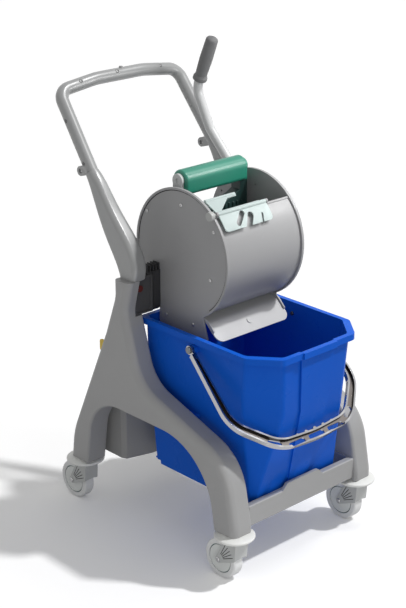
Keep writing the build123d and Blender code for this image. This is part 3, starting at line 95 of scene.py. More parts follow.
def srgb(red: int, green: int, blue: int) -> Colour:
    """Turn a colour of 0 to 255 steps into the linear colour that shaders take.

    Args:
        red: Red step.
        green: Green step.
        blue: Blue step.

    Returns:
        The linear colour.
    """
    steps = (red / 255, green / 255, blue / 255)
    return tuple(s / 12.92 if s <= 0.04045 else ((s + 0.055) / 1.055) ** 2.4 for s in steps)


class EffectLibrary:
    """Builds each shared effect once and places it in materials."""

    def __init__(self) -> None:
        """Build every effect's node group."""
        self.groups: dict[Effect, bpy.types.NodeTree] = {
            Effect.GRAIN: self._grain(),
            Effect.SMUDGE: self._smudge(),
            Effect.BRUSH: self._brush(),
            Effect.SCUFF: self._scuff(),
        }

    @staticmethod
    def _new_group(
        effect: Effect, inputs: dict[str, float], outputs: tuple[str, ...]
    ) -> bpy.types.NodeTree:
        """Make an empty group with a Vector input, number inputs and number outputs.

        Args:
            effect: The effect, whose value names the group.
            inputs: Names and defaults of the number inputs.
            outputs: Names of the outputs.

        Returns:
            The group's node tree.
        """
        tree = bpy.data.node_groups.new(effect.value, "ShaderNodeTree")
        tree.interface.new_socket("Vector", in_out="INPUT", socket_type="NodeSocketVector")
        for name, default in inputs.items():
            socket = tree.interface.new_socket(name, in_out="INPUT", socket_type="NodeSocketFloat")
            socket.default_value = default
        for name in outputs:
            tree.interface.new_socket(name, in_out="OUTPUT", socket_type="NodeSocketFloat")
        tree.nodes.new("NodeGroupInput").name = "in"
        tree.nodes.new("NodeGroupOutput").name = "out"
        return tree

    def _grain(self) -> bpy.types.NodeTree:
        """Fine pebble of a textured mould: a height for bump and a slow mottle.

        Returns:
            The effect's node tree.
        """
        tree = self._new_group(Effect.GRAIN, {"Scale": GRAINS_A_METRE}, ("Height", "Mottle"))
        source, sink = tree.nodes["in"], tree.nodes["out"]
        fine = tree.nodes.new("ShaderNodeTexNoise")
        fine.inputs["Detail"].default_value = 2.0
        slow = tree.nodes.new("ShaderNodeTexNoise")
        slow.inputs["Scale"].default_value = 9.0
        slow.inputs["Detail"].default_value = 3.0
        for noise in (fine, slow):
            tree.links.new(source.outputs["Vector"], noise.inputs["Vector"])
        tree.links.new(source.outputs["Scale"], fine.inputs["Scale"])
        tree.links.new(fine.outputs["Fac"], sink.inputs["Height"])
        tree.links.new(slow.outputs["Fac"], sink.inputs["Mottle"])
        return tree

    def _smudge(self) -> bpy.types.NodeTree:
        """Faint handling marks that change the gloss from place to place.

        Returns:
            The effect's node tree.
        """
        tree = self._new_group(Effect.SMUDGE, {"Low": 0.3, "High": 0.45}, ("Roughness",))
        source, sink = tree.nodes["in"], tree.nodes["out"]
        cloud = tree.nodes.new("ShaderNodeTexNoise")
        cloud.inputs["Scale"].default_value = 24.0
        cloud.inputs["Detail"].default_value = 5.0
        cloud.inputs["Distortion"].default_value = 0.6
        spread = tree.nodes.new("ShaderNodeMapRange")
        spread.inputs["From Min"].default_value = 0.35
        spread.inputs["From Max"].default_value = 0.65
        tree.links.new(source.outputs["Vector"], cloud.inputs["Vector"])
        tree.links.new(cloud.outputs["Fac"], spread.inputs["Value"])
        tree.links.new(source.outputs["Low"], spread.inputs["To Min"])
        tree.links.new(source.outputs["High"], spread.inputs["To Max"])
        tree.links.new(spread.outputs["Result"], sink.inputs["Roughness"])
        return tree

    def _brush(self) -> bpy.types.NodeTree:
        """Long fine lines left on metal by drawing and polishing.

        Returns:
            The effect's node tree.
        """
        tree = self._new_group(Effect.BRUSH, {"Scale": 700.0}, ("Height",))
        source, sink = tree.nodes["in"], tree.nodes["out"]
        stretch = tree.nodes.new("ShaderNodeMapping")
        stretch.inputs["Scale"].default_value = (0.04, 1.0, 1.0)
        lines = tree.nodes.new("ShaderNodeTexNoise")
        lines.inputs["Detail"].default_value = 3.0
        tree.links.new(source.outputs["Vector"], stretch.inputs["Vector"])
        tree.links.new(stretch.outputs["Vector"], lines.inputs["Vector"])
        tree.links.new(source.outputs["Scale"], lines.inputs["Scale"])
        tree.links.new(lines.outputs["Fac"], sink.inputs["Height"])
        return tree

    def _scuff(self) -> bpy.types.NodeTree:
        """Sparse pale rub marks, a few millimetres long, as a mask.

        Returns:
            The effect's node tree.
        """
        tree = self._new_group(Effect.SCUFF, {"Scale": 60.0, "Amount": 0.08}, ("Mask",))
        source, sink = tree.nodes["in"], tree.nodes["out"]
        stretch = tree.nodes.new("ShaderNodeMapping")
        stretch.inputs["Rotation"].default_value = (0.5, 0.3, 0.7)
        stretch.inputs["Scale"].default_value = (1.0, 0.12, 1.0)
        marks = tree.nodes.new("ShaderNodeTexNoise")
        marks.inputs["Detail"].default_value = 4.0
        marks.inputs["Roughness"].default_value = 0.7
        cut = tree.nodes.new("ShaderNodeMapRange")
        cut.inputs["From Min"].default_value = 0.62
        cut.inputs["From Max"].default_value = 0.78
        tree.links.new(source.outputs["Vector"], stretch.inputs["Vector"])
        tree.links.new(stretch.outputs["Vector"], marks.inputs["Vector"])
        tree.links.new(source.outputs["Scale"], marks.inputs["Scale"])
        tree.links.new(marks.outputs["Fac"], cut.inputs["Value"])
        tree.links.new(source.outputs["Amount"], cut.inputs["To Max"])
        tree.links.new(cut.outputs["Result"], sink.inputs["Mask"])
        return tree

    def place(
        self, tree: bpy.types.NodeTree, effect: Effect, values: dict[str, float]
    ) -> bpy.types.ShaderNodeGroup:
        """Put an effect into a material on the piece's own coordinates.

        Args:
            tree: The material's node tree.
            effect: Which effect.
            values: Input values of this use.

        Returns:
            The placed group node.
        """
        coordinates = tree.nodes.get("piece_coordinates")
        if coordinates is None:
            coordinates = tree.nodes.new("ShaderNodeTexCoord")
            coordinates.name = "piece_coordinates"
        node = tree.nodes.new("ShaderNodeGroup")
        node.node_tree = self.groups[effect]
        tree.links.new(coordinates.outputs["Object"], node.inputs["Vector"])
        for name, value in values.items():
            node.inputs[name].default_value = value
        return node


@dataclass(frozen=True)
class Finish:
    """A finish with a colour that varies a little and a gloss that varies with handling."""

    name: str
    colour: Colour
    gloss_low: float
    gloss_high: float
    shade: float = 0.94
    scuffs: float = 0.08

    def build(self, effects: EffectLibrary) -> bpy.types.Material:
        """Make the material.

        Args:
            effects: The shared effects.

        Returns:
            The finished material.
        """
        material = bpy.data.materials.new(self.name)
        material.use_nodes = True
        tree = material.node_tree
        shader = tree.nodes["Principled BSDF"]
        gloss = {"Low": self.gloss_low, "High": self.gloss_high}
        smudge = effects.place(tree, Effect.SMUDGE, gloss)
        tree.links.new(smudge.outputs["Roughness"], shader.inputs["Roughness"])
        grain = effects.place(tree, Effect.GRAIN, {"Scale": self.grain_scale()})
        mottle = self._mix(tree, [c * self.shade for c in self.colour], self.colour)
        tree.links.new(grain.outputs["Mottle"], mottle.inputs["Factor"])
        rubbed = self._mix(tree, self.colour, [c + (1.0 - c) * RUB_WHITENING for c in self.colour])
        scuff = effects.place(tree, Effect.SCUFF, {"Amount": self.scuffs})
        tree.links.new(mottle.outputs["Result"], rubbed.inputs["A"])
        tree.links.new(scuff.outputs["Mask"], rubbed.inputs["Factor"])
        tree.links.new(rubbed.outputs["Result"], shader.inputs["Base Color"])
        self.surface(tree, shader, grain, effects)
        return material

    @staticmethod
    def _mix(
        tree: bpy.types.NodeTree, first: list[float] | Colour, second: list[float] | Colour
    ) -> bpy.types.Node:
        """Add a colour mix between two colours.

        Args:
            tree: The material's node tree.
            first: Colour at factor 0.
            second: Colour at factor 1.

        Returns:
            The mix node.
        """
        mix = tree.nodes.new("ShaderNodeMix")
        mix.data_type = "RGBA"
        mix.inputs["A"].default_value = (*first, 1.0)
        mix.inputs["B"].default_value = (*second, 1.0)
        return mix

    def grain_scale(self) -> float:
        """Grain features a metre."""
        return GRAINS_A_METRE

    def surface(
        self,
        tree: bpy.types.NodeTree,
        shader: bpy.types.ShaderNode,
        grain: bpy.types.ShaderNode,
        effects: EffectLibrary,
    ) -> None:
        """Add what this kind of finish has beyond colour and gloss.

        Args:
            tree: The material's node tree.
            shader: Its Principled BSDF.
            grain: The placed grain effect.
            effects: The shared effects.
        """
        raise NotImplementedError

    @staticmethod
    def bump(
        tree: bpy.types.NodeTree,
        shader: bpy.types.ShaderNode,
        height: bpy.types.NodeSocket,
        depth: float,
    ) -> None:
        """Feed a height into the shader's normal.

        Args:
            tree: The material's node tree.
            shader: The shader to bump.
            height: The socket that gives the height.
            depth: Depth of the bump in metres.
        """
        node = tree.nodes.new("ShaderNodeBump")
        node.inputs["Strength"].default_value = 1.0
        node.inputs["Distance"].default_value = depth
        tree.links.new(height, node.inputs["Height"])
        tree.links.new(node.outputs["Normal"], shader.inputs["Normal"])


@dataclass(frozen=True)
class Moulded(Finish):
    """Injection-moulded plastic with a fine pebble from its mould."""

    grain: float = GRAINS_A_METRE
    depth: float = 40 * MICRON
    specular: float = 0.5

    def grain_scale(self) -> float:
        """Grain features a metre."""
        return self.grain

    def surface(
        self,
        tree: bpy.types.NodeTree,
        shader: bpy.types.ShaderNode,
        grain: bpy.types.ShaderNode,
        effects: EffectLibrary,
    ) -> None:
        """Add the pebble and set the sheen.

        Args:
            tree: The material's node tree.
            shader: Its Principled BSDF.
            grain: The placed grain effect.
            effects: The shared effects.
        """
        shader.inputs["Specular IOR Level"].default_value = self.specular
        self.bump(tree, shader, grain.outputs["Height"], self.depth)


@dataclass(frozen=True)
class Plated(Finish):
    """Bright or zinc-plated steel with faint drawing lines."""

    brush: float = 700.0
    depth: float = 4 * MICRON

    def surface(
        self,
        tree: bpy.types.NodeTree,
        shader: bpy.types.ShaderNode,
        grain: bpy.types.ShaderNode,
        effects: EffectLibrary,
    ) -> None:
        """Make it metal and add the drawing lines.

        Args:
            tree: The material's node tree.
            shader: Its Principled BSDF.
            grain: The placed grain effect.
            effects: The shared effects.
        """
        shader.inputs["Metallic"].default_value = 1.0
        lines = effects.place(tree, Effect.BRUSH, {"Scale": self.brush})
        self.bump(tree, shader, lines.outputs["Height"], self.depth)


@dataclass(frozen=True)
class Clear(Finish):
    """Tinted see-through plastic."""

    see_through: float = 0.8

    def surface(
        self,
        tree: bpy.types.NodeTree,
        shader: bpy.types.ShaderNode,
        grain: bpy.types.ShaderNode,
        effects: EffectLibrary,
    ) -> None:
        """Let light through and keep a wavy moulded skin.

        Args:
            tree: The material's node tree.
            shader: Its Principled BSDF.
            grain: The placed grain effect.
            effects: The shared effects.
        """
        shader.inputs["Transmission Weight"].default_value = self.see_through
        shader.inputs["IOR"].default_value = CLEAR_IOR
        self.bump(tree, shader, grain.outputs["Height"], CLEAR_DEPTH)


FINISHES: dict[str, Finish] = {
    "frame_grey": Moulded(
        "frame_grey_plastic", srgb(160, 160, 160), gloss_low=0.36, gloss_high=0.46,
        shade=0.96, scuffs=0.04, depth=30 * MICRON,
    ),
    "bin_grey": Moulded(
        "bin_grey_plastic", srgb(154, 154, 154), gloss_low=0.50, gloss_high=0.62,
        shade=0.95, scuffs=0.05, depth=30 * MICRON, specular=0.25,
    ),
    "bracket_grey": Moulded(
        "bracket_grey_plastic", srgb(76, 76, 77), gloss_low=0.45, gloss_high=0.55,
        shade=0.95, scuffs=0.05, depth=30 * MICRON, specular=0.25,
    ),
    "red_plastic": Moulded(
        "plug_red_plastic", srgb(92, 34, 32), gloss_low=0.40, gloss_high=0.50,
        shade=0.95, scuffs=0.03, depth=20 * MICRON, specular=0.2,
    ),
    "yellow_plastic": Moulded(
        "clip_yellow_plastic", srgb(222, 190, 70), gloss_low=0.40, gloss_high=0.50,
    ),
    "bush_plastic": Moulded(
        "bush_plastic", srgb(60, 60, 60), gloss_low=0.40, gloss_high=0.50,
    ),
    "bucket_blue": Moulded(
        "bucket_blue_plastic", srgb(20, 94, 208), gloss_low=0.26, gloss_high=0.36,
        shade=0.96, scuffs=0.0, grain=700.0, depth=10 * MICRON, specular=0.06,
    ),
    "steel": Plated(
        "plated_steel", srgb(190, 190, 190), gloss_low=0.28, gloss_high=0.38,
    ),
    "bumper_grey": Moulded(
        "bumper_plastic", srgb(232, 233, 230), gloss_low=0.34, gloss_high=0.44,
        shade=0.96, scuffs=0.04, depth=30 * MICRON, specular=0.4,
    ),
    "drum_grey": Moulded(
        "drum_grey_plastic", srgb(158, 158, 159), gloss_low=0.34, gloss_high=0.44,
        shade=0.96, scuffs=0.05, depth=20 * MICRON, specular=0.4,
    ),
    "pale_grey": Moulded(
        "pale_grey_plastic", srgb(196, 203, 201), gloss_low=0.35, gloss_high=0.45,
    ),
    "tray_white": Moulded(
        "tray_white_plastic", srgb(178, 178, 179), gloss_low=0.35, gloss_high=0.45,
        shade=0.86, scuffs=0.14,
    ),
    "black_plastic": Moulded(
        "black_plastic", srgb(56, 56, 57), gloss_low=0.45, gloss_high=0.55,
        specular=0.25,
    ),
    "flap_clear": Clear(
        "flap_frosted_plastic", srgb(206, 219, 217), gloss_low=0.30, gloss_high=0.42,
        shade=0.96, scuffs=0.03, see_through=0.25,
    ),
    "lever_grey": Moulded(
        "lever_grey_paint", srgb(206, 207, 207), gloss_low=0.30, gloss_high=0.40,
        shade=0.97, scuffs=0.04, grain=1200.0, depth=10 * MICRON, specular=0.4,
    ),
    "grip_dark": Moulded(
        "grip_dark_rubber", srgb(124, 124, 125), gloss_low=0.50, gloss_high=0.62,
        scuffs=0.06, grain=1400.0, specular=0.25,
    ),
    "jaw_green": Moulded(
        "jaw_green_plastic", srgb(36, 130, 108), gloss_low=0.32, gloss_high=0.38,
        shade=0.97, scuffs=0.0, grain=600.0, depth=4 * MICRON, specular=0.6,
    ),
    "cap_grey": Moulded(
        "cap_grey_plastic", srgb(198, 200, 200), gloss_low=0.40, gloss_high=0.50,
    ),
    "bail_chrome": Plated(
        "bail_bright_chrome", srgb(176, 176, 178), gloss_low=0.10, gloss_high=0.20,
        shade=0.85, scuffs=0.05,
    ),
    "fork_grey": Moulded(
        "fork_grey_plastic", srgb(196, 198, 197), gloss_low=0.34, gloss_high=0.44,
        shade=0.96, scuffs=0.04, depth=30 * MICRON, specular=0.4,
    ),
    "wheel_grey": Moulded(
        "wheel_grey_plastic", srgb(234, 237, 235), gloss_low=0.36, gloss_high=0.46,
        shade=0.96, scuffs=0.04, depth=30 * MICRON, specular=0.3,
    ),
    "tyre_grey": Moulded(
        "tyre_grey_rubber", srgb(240, 241, 241), gloss_low=0.60, gloss_high=0.72,
        shade=0.96, scuffs=0.05, grain=1100.0, depth=50 * MICRON, specular=0.2,
    ),
}
NODE_FINISHES: dict[str, Finish] = {
    "push_handle": Moulded(
        "handle_silver_paint", srgb(150, 151, 151), gloss_low=0.30, gloss_high=0.38,
        shade=0.97, scuffs=0.02, grain=1300.0, depth=6 * MICRON, specular=0.9,
    ),
    "handle_screws": Plated(
        "handle_screw_dark_steel", srgb(112, 112, 112), gloss_low=0.35, gloss_high=0.45,
    ),
    "bail_pins": Plated(
        "bail_pin_dull_steel", srgb(120, 120, 122), gloss_low=0.35, gloss_high=0.45,
    ),
    "flap_rod": Moulded(
        "flap_rod_grey_plastic", srgb(176, 178, 176), gloss_low=0.36, gloss_high=0.46,
    ),
}
RING_TEAL = Moulded(
    "wheel_ring_teal_plastic", srgb(52, 96, 96), gloss_low=0.35, gloss_high=0.45,
)
# Painted shade: the jaw's web under its bar, darkened where the bar shades it.
WEB_SHADE_TEAL = Moulded(
    "jaw_web_painted_shade", srgb(42, 66, 64), gloss_low=0.28, gloss_high=0.38,
    scuffs=0.03, grain=600.0, depth=10 * MICRON, specular=0.3,
)
# Painted shade for recesses: the grooves in the fork arms and a strip inside each drum plate's
# rim.
GROOVE_SHADE_GREY = Moulded(
    "groove_painted_shade", srgb(48, 49, 49), gloss_low=0.50, gloss_high=0.60,
    scuffs=0.04, depth=30 * MICRON, specular=0.2,
)
# Painted reflection: the darker, brownish channel along the bright bail.
GROOVE_REFLECTION_STEEL = Plated(
    "bail_groove_painted_reflection", srgb(84, 80, 78), gloss_low=0.30, gloss_high=0.40,
    shade=0.85, scuffs=0.05,
)


class Bench:
    """Blender operations that the sub-assemblies share."""

    @staticmethod
    def only(piece: bpy.types.Object) -> None:
        """Select one object and make it active.

        Args:
            piece: The object.
        """
        bpy.ops.object.select_all(action="DESELECT")
        piece.select_set(True)
        bpy.context.view_layer.objects.active = piece

    @classmethod
    def copy_node(cls, node: str, name: str) -> bpy.types.Object:
        """Start a piece from a copy of a CAD node, its loose triangles merged into faces.

        Args:
            node: The CAD node.
            name: Name of the new piece.

        Returns:
            The new object, at the origin.
        """
        piece = bpy.data.objects.new(name, frame["nodes"][node].data.copy())
        bpy.context.scene.collection.objects.link(piece)
        cls.only(piece)
        bpy.ops.object.mode_set(mode="EDIT")
        bpy.ops.mesh.select_all(action="SELECT")
        bpy.ops.mesh.remove_doubles(threshold=MERGE * MM)
        bpy.ops.mesh.dissolve_limited(angle_limit=math.radians(FLAT_ANGLE))
        bpy.ops.object.mode_set(mode="OBJECT")
        return piece

    @classmethod
    def ease(
        cls,
        piece: bpy.types.Object,
        width: float,
        segments: int = 3,
        angle: float = 35.0,
        tight: bool = False,
    ) -> None:
        """Round a piece's sharp edges as a mould does, and let flats stay flat in the light.

        Args:
            piece: The piece.
            width: Width of the rounding in metres, or 0 for none.
            segments: Steps across the rounding.
            angle: Edges sharper than this many degrees are rounded.
            tight: True where close corners must keep their roundings apart.
        """
        cls.only(piece)
        if width > 0:
            bevel = piece.modifiers.new("eased_edges", "BEVEL")
            bevel.width = width
            bevel.segments = segments
            bevel.limit_method = "ANGLE"
            bevel.angle_limit = math.radians(angle)
            bevel.use_clamp_overlap = tight
            bpy.ops.object.modifier_apply(modifier=bevel.name)
        bpy.ops.object.shade_smooth_by_angle(angle=math.radians(angle))
        weigh = piece.modifiers.new("flat_faces_rule", "WEIGHTED_NORMAL")
        weigh.keep_sharp = True
        bpy.ops.object.modifier_apply(modifier=weigh.name)

    @staticmethod
    def paint(piece: bpy.types.Object, material: bpy.types.Material) -> None:
        """Give a piece one material all over.

        Args:
            piece: The piece.
            material: The material.
        """
        piece.data.materials.clear()
        piece.data.materials.append(material)

    @staticmethod
    def tint(
        piece: bpy.types.Object, material: bpy.types.Material, chosen: Callable[[Vector], bool]
    ) -> None:
        """Give the faces whose middles are chosen a second material.

        Args:
            piece: The piece, painted already.
            material: The second material.
            chosen: Test of a face's middle point.
        """
        piece.data.materials.append(material)
        for face in piece.data.polygons:
            if chosen(face.center):
                face.material_index = len(piece.data.materials) - 1

    @classmethod
    def split_level(cls, piece: bpy.types.Object, level: float) -> None:
        """Cut a piece's faces along a level plane and keep both halves.

        Args:
            piece: The piece.
            level: Height of the plane in metres.
        """
        cls.only(piece)
        bpy.ops.object.mode_set(mode="EDIT")
        bpy.ops.mesh.select_all(action="SELECT")
        bpy.ops.mesh.bisect(plane_co=(0.0, 0.0, level), plane_no=(0.0, 0.0, 1.0))
        bpy.ops.object.mode_set(mode="OBJECT")

    @classmethod
    def cut(cls, piece: bpy.types.Object, cutter: bpy.types.Object) -> None:
        """Take a cutter's volume out of a piece and drop the cutter.

        Args:
            piece: The piece.
            cutter: What is taken out of it.
        """
        cls.only(piece)
        away = piece.modifiers.new("cut_away", "BOOLEAN")
        away.operation = "DIFFERENCE"
        away.object = cutter
        bpy.ops.object.modifier_apply(modifier=away.name)
        bpy.data.objects.remove(cutter)

    @staticmethod
    def block(low: Point, high: Point) -> bpy.types.Object:
        """Block between two corners, as a cutter.

        Args:
            low: Its lowest corner in millimetres.
            high: Its highest corner in millimetres.

        Returns:
            The block, its place in its mesh.
        """
        bpy.ops.object.select_all(action="DESELECT")
        middle = [(a + b) / 2 * MM for a, b in zip(low, high)]
        bpy.ops.mesh.primitive_cube_add(size=1.0, location=middle)
        block = bpy.context.object
        block.scale = [(b - a) * MM for a, b in zip(low, high)]
        bpy.ops.object.transform_apply(location=True, rotation=True, scale=True)
        return block

    @classmethod
    def islands(cls, node: str) -> list[list[Vector]]:
        """Points of each separate solid in a CAD node.

        Args:
            node: The CAD node.

        Returns:
            One list of points for each solid.
        """
        whole = cls.copy_node(node, f"{node}_parts")
        bpy.ops.object.mode_set(mode="EDIT")
        bpy.ops.mesh.select_all(action="SELECT")
        bpy.ops.mesh.separate(type="LOOSE")
        bpy.ops.object.mode_set(mode="OBJECT")
        loose = list(bpy.context.selected_objects)
        points = [[v.co.copy() for v in o.data.vertices] for o in loose]
        for piece in loose:
            bpy.data.objects.remove(piece)
        return points

    @classmethod
    def join(cls, pieces: list[bpy.types.Object], name: str) -> bpy.types.Object:
        """Join pieces into one object.

        Args:
            pieces: The pieces, all at the origin.
            name: Name of the joined piece.

        Returns:
            The joined object.
        """
        cls.only(pieces[0])
        for piece in pieces:
            piece.select_set(True)
        if len(pieces) > 1:
            bpy.ops.object.join()
        joined = bpy.context.view_layer.objects.active
        joined.name = name
        return joined

    @classmethod
    def copies(cls, model: bpy.types.Object, places: list[Matrix], name: str) -> bpy.types.Object:
        """Set a copy of a modelled piece at each place, join them and drop the model.

        Args:
            model: The piece, modelled at the origin.
            places: Where the copies go.
            name: Name of the joined piece.

        Returns:
            The joined object.
        """
        made = []
        for place in places:
            mesh = model.data.copy()
            mesh.transform(place)
            made.append(bpy.data.objects.new(name, mesh))
            bpy.context.scene.collection.objects.link(made[-1])
        bpy.data.objects.remove(model)
        return cls.join(made, name)

    @staticmethod
    def aim(spot: Vector, outward: Vector) -> Matrix:
        """Place that turns +Z outward and moves the origin to a spot.

        Args:
            spot: Where the origin goes.
            outward: Where +Z points.

        Returns:
            The place.
        """
        return Matrix.Translation(spot) @ outward.to_track_quat("Z", "Y").to_matrix().to_4x4()


@dataclass
class SubAssembly:
    """A group of pieces that come off the trolley together, most of them eased mouldings."""

    finishes: dict[str, bpy.types.Material]

    def ease_nodes(self, widths: dict[str, float], tight: bool = False) -> None:
        """Ease the edges of CAD nodes and let the eased pieces stand for them.

        Args:
            widths: Rounding of each node's edges in millimetres, 0 for smooth shading alone.
            tight: True where close corners must keep their roundings apart.
        """
        for node, width in widths.items():
            self.ease_node(node, width, tight)

    def ease_node(self, node: str, width: float, tight: bool = False) -> bpy.types.Object:
        """Ease one CAD node's edges and let the eased piece stand for it.

        Args:
            node: The CAD node.
            width: Rounding of its edges in millimetres, 0 for smooth shading alone.
            tight: True where close corners must keep their roundings apart.

        Returns:
            The eased piece.
        """
        piece = Bench.copy_node(node, f"{node}_moulding")
        Bench.ease(piece, width * MM, tight=tight)
        self.settle(piece, node)
        return piece

    def settle(self, piece: bpy.types.Object, *nodes: str) -> None:
        """Let a finished piece ride on its body and stand for its nodes.

        Args:
            piece: The finished piece.
            nodes: The CAD nodes that it replaces.
        """
        slot = slot_of(nodes[0])
        Bench.paint(piece, self.finishes.get(nodes[0], self.finishes[slot]))
        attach(piece, body_of(nodes[0]))
        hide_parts(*nodes)
        LOG.info("%s stands for %s", piece.name, ", ".join(nodes))

    def fit(
        self, piece: bpy.types.Object, body: str, slot: str, material: bpy.types.Material
    ) -> None:
        """Let an added piece ride on a body.

        Args:
            piece: The finished piece.
            body: The body that carries it.
            slot: Not used.
            material: Its material.
        """
        Bench.paint(piece, material)
        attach(piece, body)
        LOG.info("%s rides on %s", piece.name, body)


@dataclass
class ScrewSet(SubAssembly):
    """Pan-head screws with a cross recess in place of the plain screw solids."""

    head_d: float = 7.5
    head_h: float = 2.2
    dome: float = 0.9
    recess: float = 4.2
    recess_w: float = 1.1
    recess_depth: float = 1.3
    head_sides: int = 24
    crown_steps: int = 4
    middle_reach: float = 165.0
    rim_band: float = 0.1

    def build(self) -> None:
        """Model one head and set it on every screw."""
        self._heads("handle_screws", Vector((0.0, -1.0, 1.0)).normalized())
        self._heads("plate_screws", None)

    def _heads(self, node: str, middle_way: Vector | None) -> None:
        """Put heads on one group of screws.

        Args:
            node: The screws' CAD node.
            middle_way: Outward way of the screws near the middle, or None if all face sideways.
        """
        places = []
        for points in Bench.islands(node):
            centre = sum(points, Vector()) / len(points)
            outward = Vector((math.copysign(1.0, centre.x), 0.0, 0.0))
            if middle_way is not None and abs(centre.x) < self.middle_reach * MM:
                outward = middle_way
            top = max(p.dot(outward) for p in points)
            rim = [p for p in points if p.dot(outward) > top - self.rim_band * MM]
            seat = sum(rim, Vector()) / len(rim) - outward * self.head_h * MM
            places.append(Bench.aim(seat, outward))
        heads = Bench.copies(self._head(), places, f"{node}_heads")
        self.settle(heads, node)

    def _head(self) -> bpy.types.Object:
        """Model a head on its seat: a shallow drum, its crown drawn in and a cross sunk in it.

        Returns:
            The head, seated at the origin and facing up.
        """
        bpy.ops.object.select_all(action="DESELECT")
        middle = (0.0, 0.0, 0.5 * self.head_h * MM)
        bpy.ops.mesh.primitive_cylinder_add(
            vertices=self.head_sides,
            radius=0.5 * self.head_d * MM,
            depth=self.head_h * MM,
            location=middle,
        )
        head = bpy.context.object
        bpy.ops.object.transform_apply(location=True, rotation=True, scale=True)
        bevel = head.modifiers.new("crown", "BEVEL")
        bevel.width = self.dome * MM
        bevel.segments = self.crown_steps
        bevel.limit_method = "ANGLE"
        bpy.ops.object.modifier_apply(modifier=bevel.name)
        bars = []
        for size in ((self.recess, self.recess_w), (self.recess_w, self.recess)):
            bpy.ops.mesh.primitive_cube_add(size=1.0, location=(0.0, 0.0, self.head_h * MM))
            bar = bpy.context.object
            bar.scale = (size[0] * MM, size[1] * MM, 2 * self.recess_depth * MM)
            bpy.ops.object.transform_apply(location=True, rotation=True, scale=True)
            bars.append(bar)
        for bar in bars:
            Bench.cut(head, bar)
        Bench.only(head)
        bpy.ops.object.shade_smooth_by_angle(angle=math.radians(ROUND_ANGLE))
        return head


@dataclass
class SideFrames(SubAssembly):
    """The two arched side frames with what is moulded or clipped to them."""

    seam_ease: float = 0.8
    box_ease: float = 1.2
    bar_ease: float = 1.5

    def build(self) -> None:
        """Ease the frames, the crossbar, the bin and the small fittings."""
        self.ease_node("front_crossbar", self.bar_ease, tight=True)
        self.ease_nodes(
            {
                "left_side_frame": self.seam_ease,
                "right_side_frame": self.seam_ease,
                "rear_bin": self.box_ease,
                "left_bucket_runner": self.box_ease,
                "right_bucket_runner": self.box_ease,
                "frame_clip": self.seam_ease,
                "left_wringer_bracket": self.seam_ease,
                "right_wringer_bracket": self.seam_ease,
                "bracket_plugs": SMOOTH_ONLY,
            }
        )


@dataclass
class PushHandle(SubAssembly):
    """The bent push handle with its pegs and its top pip."""

    root: Point = (180.5, 190.0, 802.0)
    corner: Point = (172.0, 308.0, 956.0)
    tube_d: float = 28.5
    peg_d: float = 6.0
    peg_h: float = 1.2
    peg_runs: tuple[float, ...] = (163.0, 141.0, 118.0, 101.0)
    pip_at: Point = (4.0, 308.0, 969.0)
    pip_d: float = 9.0
    pip_h: float = 3.0
    button_sides: int = 24
    button_rim: float = 0.16
    button_sink: float = 0.35
    button_ease: float = 0.18

    def build(self) -> None:
        """Smooth the tube and add the pegs and the pip."""
        self.ease_nodes({"push_handle": SMOOTH_ONLY})
        self._pegs()
        self._pip()

    def _button(self, width: float, height: float) -> bpy.types.Object:
        """Model a low round button with a sunk middle.

        Args:
            width: Its diameter in millimetres.
            height: Its height in millimetres.

        Returns:
            The button on the origin, facing up.
        """
        bpy.ops.object.select_all(action="DESELECT")
        bpy.ops.mesh.primitive_cylinder_add(
            vertices=self.button_sides, radius=0.5 * width * MM, depth=2 * height * MM
        )
        button = bpy.context.object
        bpy.ops.object.mode_set(mode="EDIT")
        bpy.ops.mesh.select_all(action="DESELECT")
        bpy.ops.object.mode_set(mode="OBJECT")
        for face in button.data.polygons:
            face.select = face.normal.z > FACES_UP
        bpy.ops.object.mode_set(mode="EDIT")
        bpy.ops.mesh.inset(thickness=self.button_rim * width * MM)
        bpy.ops.transform.translate(value=(0.0, 0.0, -self.button_sink * height * MM))
        bpy.ops.object.mode_set(mode="OBJECT")
        Bench.ease(button, self.button_ease * height * MM, 2)
        return button

    def _pegs(self) -> None:
        """Set a row of pegs on the inner side of each upright."""
        places = []
        for side in (-1.0, 1.0):
            start = Vector((side * self.root[0], *self.root[1:])) * MM
            end = Vector((side * self.corner[0], *self.corner[1:])) * MM
            along = (end - start).normalized()
            inward = Vector((-side, 0.0, 0.0))
            inward = (inward - along * inward.dot(along)).normalized()
            skin = start + inward * 0.5 * self.tube_d * MM
            places += [Bench.aim(skin + along * run * MM, inward) for run in self.peg_runs]
        pegs = Bench.copies(self._button(self.peg_d, self.peg_h), places, "handle_pegs")
        self.fit(pegs, "frame", "frame_grey", self.finishes["frame_grey"])

    def _pip(self) -> None:
        """Set a pip on top of the bar."""
        spot = Vector(self.pip_at) * MM + Vector((0.0, 0.0, 0.5 * self.tube_d * MM))
        button = self._button(self.pip_d, self.pip_h)
        pip = Bench.copies(button, [Matrix.Translation(spot)], "handle_pip")
        self.fit(pip, "frame", "frame_grey", self.finishes["frame_grey"])


